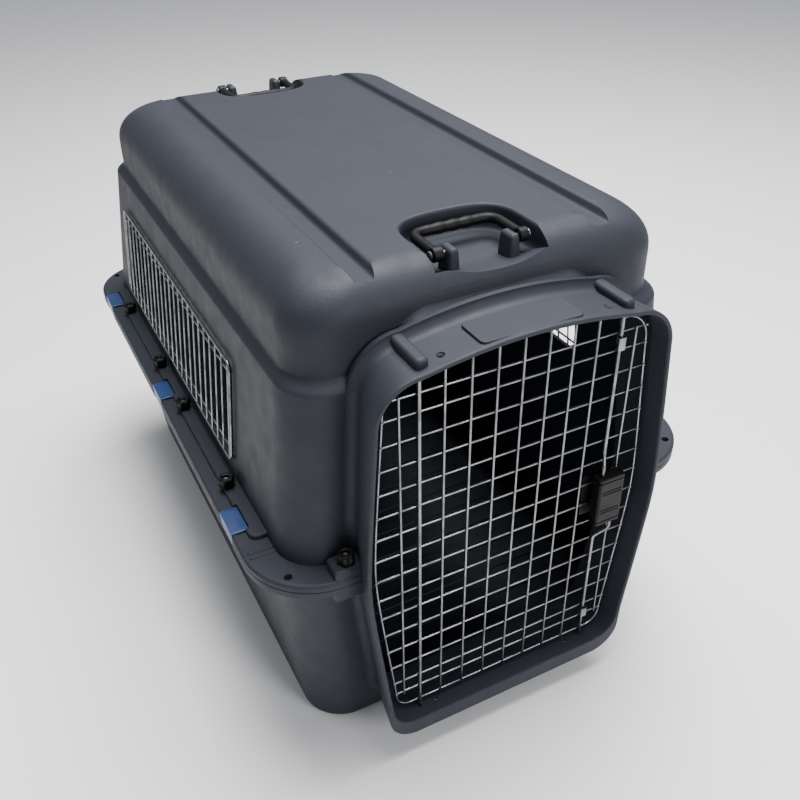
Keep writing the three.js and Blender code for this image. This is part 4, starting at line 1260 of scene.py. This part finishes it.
    def build_bottom(self) -> bpy.types.Object:
        """Builds the lower half, with crosswise ribs on its floor and a hollow under the sill."""
        b, d = self.body, self.doorway
        steps = [(Carve.JOIN, b.plate(b.flange_bottom, b.lower_z, 2.2, 1.0))]
        steps.append((Carve.JOIN, self.collar_part(0, b.lower_z)))
        steps.append((Carve.CUT, b.lower(b.wall, b.lower_z + b.wall)))
        for side in (-1, 1):
            edges = sorted((side * (d.seam_half - 12), side * (d.seam_half + 28)))
            steps.insert(1, (Carve.JOIN, block((edges[0], b.mid - b.flange_y + 0.6, b.flange_bottom - 9),
                                               (edges[1], b.mid - b.wall_y + 4, b.lower_z - 1), 4, 2)))
        reach = b.wall_x - b.lower_draft - b.lower_edge - 14
        for k in range(int(2 * (b.wall_y - 70) / self.rib_pitch) + 1):
            y = b.mid - b.wall_y + 70 + k * self.rib_pitch
            rib = block((-reach, y - self.rib_width / 2, 1.5),
                        (reach, y + self.rib_width / 2, b.wall + self.rib_height), 6, 1.8)
            steps.append((Carve.JOIN, rib))
        steps.append((Carve.CUT, d.opening()))
        hollow = (d.sill_half - d.sill_r, b.front + d.rim, d.sill - d.lip - 12)
        steps.append((Carve.CUT, block((-hollow[0], hollow[1], hollow[2]),
                                       (hollow[0], b.front + 62, d.sill - d.rim), 6, 2)))
        steps += [(Carve.CUT, shape) for shape in self.rod_holes() + self.fastener_holes()]
        steps += [(Carve.CUT, shape) for shape in self.clip_cuts(False)]
        bottom = carved("lower_shell", b.lower(), steps)
        return self.palette.dress(bottom, Slot.SHELL, "root", "bottom_shell")


@dataclass
class VentGrille:
    """Wire grille on a leaning wall, built flat and then laid against the wall."""

    body: Body
    palette: Palette
    wire_r: float = 1.2
    frame_r: float = 1.4
    pitch: float = 20.2
    lap: float = 6
    rail_in: float = 13
    frame_turn: float = 10
    rail_depth: float = 2.2

    def flat(self, length: float, height: float) -> Shape:
        """Grille about its middle: length along X, height along Y, wall side towards +Z.

        Args:
            length: Overall length.
            height: Overall height.

        Returns:
            Frame, uprights, two rails and the weld beads.
        """
        half_l, half_h = length / 2 - self.frame_r, height / 2 - self.frame_r
        ring = rounded_rectangle(half_l, half_h, self.frame_turn, 9)
        shapes = [tube(np.column_stack([ring, np.zeros(len(ring))]), self.frame_r, (0, 0, 1), 12, True)]
        count = math.floor((length - 2 * self.lap) / self.pitch)
        places = (np.arange(count + 1) - count / 2) * self.pitch
        for x in places:
            shapes.append(straight((x, -half_h - 0.6, 0.2), (x, half_h + 0.6, 0.2), self.wire_r, 10))
        rail = half_h - self.rail_in
        reach = length / 2 - self.lap - 1
        for side in (-1, 1):
            ends = ((across, side * rail, self.rail_depth) for across in (-reach, reach))
            shapes.append(straight(*ends, self.frame_r))
        welds = [(x, side * rail, self.rail_depth / 2) for x in places for side in (-1, 1)]
        shapes.append(beads(np.array(welds), (2.0, 1.9, 1.5)))
        return together(shapes)

    def build(self, name: str, outward: tuple[float, float], draft: float) -> bpy.types.Object:
        """Lays a grille on its wall in place of its CAD node.

        Args:
            name: CAD node.
            outward: Direction away from the wall in X and Y.
            draft: How far the wall leans in from the seam to the shoulder.

        Returns:
            The finished piece.
        """
        low, high = corners_of(name)
        lean = math.atan2(draft, self.body.shoulder - self.body.seam)
        out = np.array([*outward, 0.0])
        normal = out * math.cos(lean) + np.array([0, 0, math.sin(lean)])
        up = -out * math.sin(lean) + np.array([0, 0, math.cos(lean)])
        along = np.cross(up, normal)
        length = float(np.abs(along) @ (high - low))
        height = float((high - low)[2] / math.cos(lean))
        one = self.flat(length, height - self.frame_r * math.sin(lean))
        centre = (low + high) / 2 + normal * (self.rail_depth / 2)
        points = centre + one.points[:, :1] * along + one.points[:, 1:2] * up - one.points[:, 2:] * normal
        piece = mesh_object(name.replace("grille", "wires"), Shape(points, one.faces).facing_out())
        return self.palette.dress(piece, Slot.CHROME, "root", name)


@dataclass
class Door:
    """Welded wire door, its hinge rod and the staples for the latch rods."""

    body: Body
    doorway: Doorway
    palette: Palette
    wire_r: float = 1.2
    rod_r: float = 1.8
    clear_side: float = 12
    clear_end: float = 9
    first_row: float = 55.5
    row_pitch: float = 26.4
    top_gap: float = 19.5
    sill_gap: float = 17.5
    last_clear: float = 40
    column_pitch: float = 27
    edge_column: float = 12
    weld: float = 0.4
    lift_from: float = 430
    lift_over: float = 50
    hinge_x: float = field(init=False)
    rod_y: float = field(init=False)
    rod_low: float = field(init=False)
    rod_high: float = field(init=False)
    row_y: float = field(init=False)
    column_y: float = field(init=False)
    rows: Array = field(init=False)
    columns: Array = field(init=False)
    last: float = field(init=False)

    def __post_init__(self) -> None:
        """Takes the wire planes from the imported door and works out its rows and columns."""
        low, high = corners_of("hinge_rod")
        self.hinge_x, self.rod_y = (low[:2] + high[:2]) / 2
        self.rod_low, self.rod_high = float(low[2]), float(high[2])
        self.row_y = self.rod_y + self.rod_r + self.body.gap + self.wire_r
        self.column_y = self.row_y - 2 * self.wire_r + self.weld
        d = self.doorway
        rows = np.arange(d.crown - self.first_row, d.sill + self.last_clear, -self.row_pitch)
        self.rows = np.concatenate([[rows[0] + self.top_gap], rows, [rows[-1] - self.sill_gap]])
        self.last = d.top_half - self.clear_side - self.edge_column
        inner = np.arange(0, abs(self.hinge_x) - self.column_pitch / 2, self.column_pitch)
        self.columns = np.unique(np.concatenate([-inner, inner, [-self.last, self.last]]))

    def frame_path(self) -> Array:
        """Path of the frame wire: the doorway's outline drawn in, a little less at the arch."""
        flat = self.doorway.outline(-self.clear_side, -self.clear_end)
        share = np.clip((flat[:, 1] - self.lift_from) / self.lift_over, 0, 1)
        lift = share * (self.clear_side - self.clear_end)
        return np.column_stack([flat[:, 0], np.full(len(flat), self.row_y), flat[:, 1] + lift])

    def build(self) -> bpy.types.Object:
        """Builds frame, rows, columns, end burrs and weld beads as the welded grille."""
        shapes = [tube(self.frame_path(), self.wire_r, (0, 1, 0), 12, True)]
        reach = self.doorway.half(self.rows) - self.clear_side
        for z, half in zip(self.rows, reach):
            end = half + 0.8
            shapes.append(straight((-end, self.row_y, z), (end, self.row_y, z), self.wire_r))
        foot = self.doorway.sill + self.clear_end - 0.6
        for x in self.columns:
            outer = abs(abs(x) - self.last) < 1e-6
            low = self.rows[-1] - 3 if outer else foot
            high = self.rows[0] + 3 if outer else float(self.doorway.arch(x)) - self.clear_end + 0.6
            shapes.append(straight((x, self.column_y, low), (x, self.column_y, high), self.wire_r))
        middle = (self.row_y + self.column_y) / 2
        crossings = np.array([(x, middle, z) for x in self.columns for z in self.rows])
        ends = np.array([(side * half, self.row_y - 0.6, z)
                         for z, half in zip(self.rows, reach) for side in (-1, 1)])
        shapes += [beads(crossings, (1.7, 1.5, 1.7)), beads(ends, (2.0, 1.5, 1.8))]
        grille = mesh_object("door_wires", together(shapes))
        return self.palette.dress(grille, Slot.CHROME, "door", "door_grille")

    def build_hinge(self) -> bpy.types.Object:
        """Builds the hinge rod with domed ends."""
        foot = (self.hinge_x, self.rod_y, self.rod_low)
        head = (self.hinge_x, self.rod_y, self.rod_high)
        rod = mesh_object("hinge_rod_round", straight(foot, head, self.rod_r, 16))
        return self.palette.dress(rod, Slot.CHROME, "door", "hinge_rod")

    def build_guides(self) -> list[bpy.types.Object]:
        """Builds the two staples: bent strips whose open side faces the door."""
        made = []
        for name in ("upper_rod_guide", "lower_rod_guide"):
            low, high = corners_of(name)
            inner_low, inner_high = low + (1.7, 1.7, -2), high + (-1.7, 3, 2)
            strip = carved(f"{name}_strip", block(tuple(low), tuple(high), 1.6, 0.5),
                           [(Carve.CUT, block(tuple(inner_low), tuple(inner_high), 0.9, 0.05))])
            made.append(self.palette.dress(strip, Slot.CHROME, "door", name))
        return made


@dataclass
class Latch:
    """Squeeze latch: housing, back plate, two pads and two cranked rods."""

    door: Door
    palette: Palette
    wall: float = 2.4
    rib: float = 3
    cap: float = 5
    socket: float = 8
    crank_offset: float = 9
    upper_crank: tuple[float, float] = (22, 11)
    lower_crank: tuple[float, float] = (28, 15)
    peg_off: float = 7

    def build_housing(self) -> list[bpy.types.Object]:
        """Builds the housing with its channels, finger grooves and pegs, and the back plate."""
        low, high = corners_of("latch_housing")
        plate_low, plate_high = corners_of("latch_back_plate")
        back = self.door.column_y - self.door.wire_r - 0.6
        middle_x, middle_z = (low[0] + high[0]) / 2, (low[2] + high[2]) / 2
        shell = block((low[0], low[1], low[2]), (high[0], back, high[2]), 3.2, 1.3)
        steps = []
        peg_z = float(self.door.rows[self.door.rows < middle_z][0]) + self.door.row_pitch / 2
        for side in (-1, 1):
            peg = moved(turned(turning([(3, 0), (3, high[1] - back + 1)], 20), -90, "X"),
                        (middle_x + side * self.peg_off, back - 1, peg_z))
            steps.append((Carve.JOIN, peg))
            edge = middle_z + side * self.rib / 2
            outer = high[2] + 2 if side > 0 else low[2] - 2
            ends = sorted((edge, outer))
            steps.append((Carve.CUT, block((low[0] + self.wall, low[1] + self.wall, ends[0]),
                                           (high[0] - self.wall, back - self.wall, ends[1]), 1.2, 0.05)))
        for offset in (-14, -10.5, 10.5, 14):
            steps.append((Carve.CUT, block((low[0] + 4, low[1] - 3, middle_z + offset - 0.8),
                                           (high[0] - 4, low[1] + 0.7, middle_z + offset + 0.8), 0.6, 0.3)))
        housing = carved("latch_case", shell, steps)
        plate = carved("latch_plate", block(tuple(plate_low), tuple(plate_high), 2.4, 0.6), [
            (Carve.CUT, moved(turned(turning([(3.5, -4), (3.5, 6)], 20), -90, "X"),
                              (middle_x + side * self.peg_off, plate_low[1], peg_z))) for side in (-1, 1)])
        return [
            self.palette.dress(housing, Slot.NYLON, "door", "latch_housing"),
            self.palette.dress(plate, Slot.NYLON, "door", "latch_back_plate"),
        ]

    def build_moving(self, name: str, side: int) -> list[bpy.types.Object]:
        """Builds one pad and its cranked rod.

        Args:
            name: "upper" or "lower".
            side: 1 for the upper one, -1 for the lower.

        Returns:
            The pad and the rod.
        """
        low, high = corners_of(f"{name}_latch_pad")
        rod_low, rod_high = corners_of(f"{name}_latch_rod")
        middle_x, middle_y = (low[0] + high[0]) / 2, (low[1] + high[1]) / 2
        cap_low = (low[0], low[1], high[2] - self.cap) if side > 0 else tuple(low)
        cap_high = tuple(high) if side > 0 else (high[0], high[1], low[2] + self.cap)
        inset = self.wall + 0.3
        stem = block((low[0] + inset, low[1] + inset, low[2] + (0 if side > 0 else 1)),
                     (high[0] - inset, high[1] - inset, high[2] - (1 if side > 0 else 0)), 1.0, 0.3)
        cap_top = high[2] if side > 0 else low[2]
        socket_x = middle_x - side * self.crank_offset
        bore = sorted((cap_top + side * 2, cap_top - side * (self.cap + self.socket)))
        steps = [(Carve.JOIN, block(cap_low, cap_high, 3.2, 1.5)),
                 (Carve.CUT, moved(turning([(2.4, bore[0]), (2.4, bore[1])], 18), (socket_x, middle_y, 0))),
                 (Carve.CUT, moved(turning([(3.8, 0), (3.8, 15)], 20),
                                   (middle_x, middle_y, low[2] - 1 if side > 0 else high[2] - 14)))]
        pad = carved(f"{name}_latch_button", stem, steps)
        start = (self.door.hinge_x * -1, self.door.rod_y)
        far = rod_high[2] if side > 0 else rod_low[2]
        near = rod_low[2] if side > 0 else rod_high[2]
        crank = self.upper_crank if side > 0 else self.lower_crank
        points = [(*start, far), (*start, cap_top + side * crank[0]),
                  (socket_x, middle_y, cap_top + side * crank[1]), (socket_x, middle_y, near)]
        run = np.array([socket_x - start[0], middle_y - start[1], 0.0])
        normal = np.cross(run / np.linalg.norm(run), (0, 0, 1))
        rod = mesh_object(f"{name}_latch_wire", bent(points, self.door.rod_r, 4.5, tuple(normal), 14))
        return [
            self.palette.dress(pad, Slot.NYLON, f"{name}_latch", f"{name}_latch_pad"),
            self.palette.dress(rod, Slot.CHROME, f"{name}_latch", f"{name}_latch_rod"),
        ]


@dataclass
class Handle:
    """Folding roof handle and its two pivot pins."""

    palette: Palette
    half: float = 45
    reach: float = 50
    radius: float = 5.6
    eye_r: float = 7
    eye_half: float = 5
    bend: float = 15
    bore_r: float = 3.1
    waves: int = 4

    def grip(self) -> Shape:
        """Handle lying flat, pivot at the origin, grip towards +Y.

        The path is two arms and a grip joined by curves. The section's half width grows and
        shrinks along the grip as a cosine, which makes finger waves.

        Returns:
            The closed shape.
        """
        corners = np.array([(-self.half, 0, 0), (-self.half, self.reach, 0)], float)
        share = np.linspace(0, 1, 12)[:, None]
        arm = corners[0] * (1 - share) + (corners[1] - (0, self.bend, 0)) * share
        turn = ((1 - share) ** 2 * (corners[1] - (0, self.bend, 0)) + 2 * share * (1 - share) * corners[1]
                + share**2 * (corners[1] + (self.bend, 0, 0)))
        run = np.linspace(-self.half + self.bend, self.half - self.bend, 46)
        grip = np.column_stack([run, np.full(46, self.reach), np.zeros(46)])
        left = np.vstack([arm, turn[1:]])
        path = np.vstack([left, grip[1:-1], (left * (-1, 1, 1))[::-1]])
        inner = np.clip((self.half - self.bend - np.abs(path[:, 0])) / 12, 0, 1)
        inner *= path[:, 1] > self.reach - 1
        wave = 0.55 * np.cos(2 * math.pi * self.waves * path[:, 0] / (2 * (self.half - self.bend)))
        return tube(path, self.radius - 0.5 + inner * (0.35 + wave * 0.6), (0, 0, 1), 16)

    def build(self, end: str) -> list[bpy.types.Object]:
        """Builds the handle of one end and its pins in place of their CAD nodes.

        Args:
            end: "front" or "rear".

        Returns:
            The handle and both pins.
        """
        low, high = corners_of(f"{end}_handle")
        pivot_y = low[1] + self.eye_r if end == "front" else high[1] - self.eye_r
        pivot = (0.0, float(pivot_y), float((low[2] + high[2]) / 2))
        lying = 0 if end == "front" else 180
        rim = self.eye_r - 0.8
        barrel = [(0.05, -self.eye_half), (rim, -self.eye_half), (self.eye_r, -self.eye_half + 0.8),
                  (self.eye_r, self.eye_half - 0.8), (rim, self.eye_half), (0.05, self.eye_half)]
        bore = [(self.bore_r, -12), (self.bore_r, 12)]
        steps = []
        for side in (-1, 1):
            steps.append((Carve.JOIN, moved(turned(turning(barrel), 90, "Y"), (side * self.half, 0, 0))))
        for side in (-1, 1):
            steps.append((Carve.CUT, moved(turned(turning(bore, 18), 90, "Y"), (side * self.half, 0, 0))))
        steps = [(way, moved(turned(shape, lying, "Z"), pivot)) for way, shape in steps]
        base = moved(turned(self.grip(), lying, "Z"), pivot)
        handle = carved(f"{end}_carry_handle", base, steps)
        made = [self.palette.dress(handle, Slot.NYLON, f"{end}_handle", f"{end}_handle")]
        for letter in ("a", "b"):
            pin_low, pin_high = corners_of(f"{end}_handle_pin_{letter}")
            outward = 1 if pin_high[0] > 0 else -1
            inner, outer = sorted((abs(pin_low[0]), abs(pin_high[0])))
            face = outer - 2
            profile = [(0.05, inner), (2.1, inner), (2.5, inner + 0.5), (2.5, face), (4.4, face),
                       (4.5, face + 0.6), (3.8, face + 1.5), (2.2, face + 1.95), (0.05, outer)]
            pin = moved(turned(turning(profile), 90 * outward, "Y"), (0, pivot[1], pivot[2]))
            made.append(self.palette.dress(mesh_object(f"{end}_pivot_{letter}", pin), Slot.ZINC, "root",
                                           f"{end}_handle_pin_{letter}"))
        return made


@dataclass
class Fastener:
    """Hand nut with six lobes, and the bolt that it turns on."""

    palette: Palette
    radius: float = 9
    waist: float = 0.86
    bore_r: float = 3.7
    shank_r: float = 2.9
    head: float = 3.5

    def nut(self) -> Shape:
        """Nut standing on the origin: a ring whose outer radius waves six times around.

        Each ring's radius is the lobed outline times its own share, from the base collar over
        the flutes to the domed top. It then turns down into the bore.

        Returns:
            The closed shape.
        """
        angle = np.radians(np.arange(0, 360, 5))
        lobes = (1 + self.waist) / 2 + (1 - self.waist) / 2 * np.cos(6 * angle)
        circle = np.stack([np.cos(angle), np.sin(angle)], axis=-1)
        plain = (1 + self.waist) / 2
        rows = [(0.86, 0.0, 0), (0.9, 0.0, 0.3), (0.9, 0.0, 2.0), (0.94, 1.0, 2.8), (1.0, 1.0, 3.6),
                (1.0, 1.0, 9.6), (0.97, 1.0, 10.8), (0.9, 1.0, 11.6), (0.78, 1.0, 12.0), (0.62, 0.5, 11.9)]
        rings = []
        for share, lobed, z in rows:
            radius = self.radius * share * (lobes * lobed + plain * (1 - lobed))
            rings.append(np.column_stack([circle * radius[:, None], np.full(len(angle), z)]))
        for z in (11.3, 0.0):
            rings.append(np.column_stack([circle * self.bore_r, np.full(len(angle), z)]))
        return skin(np.array(rings), True)

    def build(self, place: str) -> list[bpy.types.Object]:
        """Builds the nut and the bolt of one place.

        Args:
            place: The end of their CAD nodes' names, such as left_1.

        Returns:
            The nut and the bolt.
        """
        low, high = corners_of(f"hand_nut_{place}")
        x, y = (low[:2] + high[:2]) / 2
        nut = mesh_object(f"nut_{place}", moved(self.nut(), (x, y, low[2])), 50)
        bolt_low, bolt_high = corners_of(f"bolt_{place}")
        foot, top = float(bolt_low[2]), float(bolt_high[2])
        under = foot + self.head
        profile = [(0.05, foot), (5.0, foot), (5.7, foot + 0.5), (5.7, under - 0.3), (5.5, under),
                   (self.shank_r, under), (self.shank_r, top - 0.6), (self.shank_r - 0.6, top), (0.05, top)]
        bolt = mesh_object(f"screw_{place}", moved(turning(profile, 24), (x, y, 0)))
        return [
            self.palette.dress(nut, Slot.NYLON, "root", f"hand_nut_{place}"),
            self.palette.dress(bolt, Slot.ZINC, "root", f"bolt_{place}"),
        ]


@dataclass
class RimClip:
    """Snap clip that holds the two flanges together along the rim."""

    palette: Palette
    barrel_r: float = 3
    pin_r: float = 1.5
    pin: float = 3
    thickness: float = 2.5
    tab_shy: float = 0.02

    def build(self, place: str) -> bpy.types.Object:
        """Builds one clip: barrel, pins, web and tab, with two grip ridges on the tab.

        Args:
            place: The end of its CAD node's name, such as left_front.

        Returns:
            The finished piece.
        """
        low, high = corners_of(f"rim_clip_{place}")
        side = 1 if place.startswith("right") else -1
        half = (high[1] - low[1]) / 2 - self.pin
        inner, outer = sorted((abs(low[0]), abs(high[0])))
        pivot_x = outer - self.barrel_r
        pivot_z = float(low[2] + self.barrel_r)
        top = float(high[2])
        reach = half + self.pin
        barrel = straight((pivot_x, -half, pivot_z), (pivot_x, half, pivot_z), self.barrel_r - 0.05, 20)
        steps = [
            (Carve.JOIN, straight((pivot_x, -reach, pivot_z), (pivot_x, reach, pivot_z),
                                  self.pin_r - 0.05, 14)),
            (Carve.JOIN, block((outer - self.thickness, -half, pivot_z - 1),
                               (outer, half, top - self.tab_shy), 0.9, 0.9)),
            (Carve.JOIN, block((inner, -half, top - self.thickness), (outer, half, top), 1.6, 0.95)),
        ]
        for offset in (2.4, 5.4):
            groove = block((inner + offset, -half + 4, top - 0.5),
                           (inner + offset + 1.3, half - 4, top + 2), 0.6, 0.2)
            steps.append((Carve.CUT, groove))
        shape = shape_of(carved(f"clip_{place}_body", barrel, steps))
        shape = moved(shape, (0, (low[1] + high[1]) / 2, 0))
        if side < 0:
            shape = mirrored(shape, 0)
        clip = mesh_object(f"snap_clip_{place}", shape)
        return self.palette.dress(clip, Slot.CLIP, f"clip_{place}", f"rim_clip_{place}")


@dataclass
class Studio:
    """Camera, pale floor and soft light."""

    azimuth: float = -26.63
    elevation: float = 34.24
    roll: float = -1.06
    focal_mm: float = 39.96
    place_mm: tuple[float, float, float] = (-399.5, -936.0, 882.3)
    floor_mm: float = 16000
    under: float = 0.2

    def camera(self) -> bpy.types.Object:
        """Makes the camera: it looks back along its azimuth and elevation, rolled a little."""
        a, e, r = (math.radians(angle) for angle in (self.azimuth, self.elevation, self.roll))
        back = Vector((math.sin(a) * math.cos(e), -math.cos(a) * math.cos(e), math.sin(e)))
        right = Vector((0, 0, 1)).cross(back).normalized()
        up = back.cross(right)
        rolled_right = right * math.cos(r) + up * math.sin(r)
        rolled_up = up * math.cos(r) - right * math.sin(r)
        data = bpy.data.cameras.new("camera")
        data.lens, data.sensor_width = self.focal_mm, 36
        data.clip_end = 50
        camera = bpy.data.objects.new("camera", data)
        turn = Matrix((rolled_right, rolled_up, back)).transposed().to_4x4()
        camera.matrix_world = Matrix.Translation(Vector(self.place_mm) * MM) @ turn
        bpy.context.scene.collection.objects.link(camera)
        bpy.context.scene.camera = camera
        return camera

    def lamp(
        self, name: str, place: tuple[float, float, float], aim: tuple[float, float, float],
        size: float, watts: float,
    ) -> None:
        """Adds one square soft light.

        Args:
            name: Name of the light.
            place: Where it stands, in metres.
            aim: The point it faces, in metres.
            size: Width in metres.
            watts: Power.
        """
        data = bpy.data.lights.new(name, "AREA")
        data.size, data.energy = size, watts
        lamp = bpy.data.objects.new(name, data)
        direction = Vector(aim) - Vector(place)
        lamp.rotation_euler = direction.to_track_quat("-Z", "Y").to_euler()
        lamp.location = place
        bpy.context.scene.collection.objects.link(lamp)

    def floor(self) -> None:
        """Lays a pale floor: a wide quad just under the carrier."""
        reach = self.floor_mm / 2
        corners = ((-reach, -reach), (reach, -reach), (reach, reach), (-reach, reach))
        flat = np.array([(*corner, -self.under) for corner in corners])
        floor = mesh_object("floor", Shape(flat, [(0, 1, 2, 3)]))
        material, tree = new_tree("pale_painted_floor")
        finish = {("in", "Roughness"): 0.9, ("in", "Base Color"): linear("#F2F2F2")}
        shader = node(tree, "ShaderNodeBsdfPrincipled", finish)
        node(tree, "ShaderNodeOutputMaterial", {}, {"Surface": shader.outputs[0]})
        floor.data.materials.append(material)

    def build(self) -> None:
        """Makes the camera, the floor, the lights and an even pale surround."""
        self.camera()
        self.floor()
        self.lamp("overhead", (0.35, 0.1, 2.5), (0, 0, 0.3), 1.7, 172)
        self.lamp("front", (0.6, -2.6, 1.3), (0, -0.3, 0.25), 0.9, 36)
        world = bpy.data.worlds.new("surround")
        world.use_nodes = True
        world.node_tree.nodes["Background"].inputs["Color"].default_value = (0.92, 0.94, 1.0, 1)
        world.node_tree.nodes["Background"].inputs["Strength"].default_value = 0.42
        bpy.context.scene.world = world


def main() -> None:
    """Builds the studio and each sub-assembly in order."""
    logging.basicConfig(level=logging.INFO, format="%(name)s: %(message)s")
    Studio().build()
    palette = Palette()
    body = Body()
    doorway = Doorway(body)
    shells = Shells(body, doorway, Roof(body), palette)
    shells.build_top()
    shells.build_bottom()
    vents = VentGrille(body, palette)
    vents.build("left_vent_grille", (-1, 0), body.upper_draft_side)
    vents.build("right_vent_grille", (1, 0), body.upper_draft_side)
    vents.build("rear_vent_grille", (0, 1), body.upper_draft_rear)
    door = Door(body, doorway, palette)
    door.build()
    door.build_hinge()
    door.build_guides()
    latch = Latch(door, palette)
    latch.build_housing()
    latch.build_moving("upper", 1)
    latch.build_moving("lower", -1)
    for end in ("front", "rear"):
        Handle(palette).build(end)
    for side in ("left", "right"):
        for place in ("1", "2", "3", "4", "front", "rear"):
            Fastener(palette).build(f"{side}_{place}")
        for place in ("front", "middle", "rear"):
            RimClip(palette).build(f"{side}_{place}")
    for name in ("upper_latch_spring", "lower_latch_spring"):
        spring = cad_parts[name]
        spring.data.materials.clear()
        spring.data.materials.append(palette.of(Slot.ZINC))


if __name__ == "__main__":
    main()
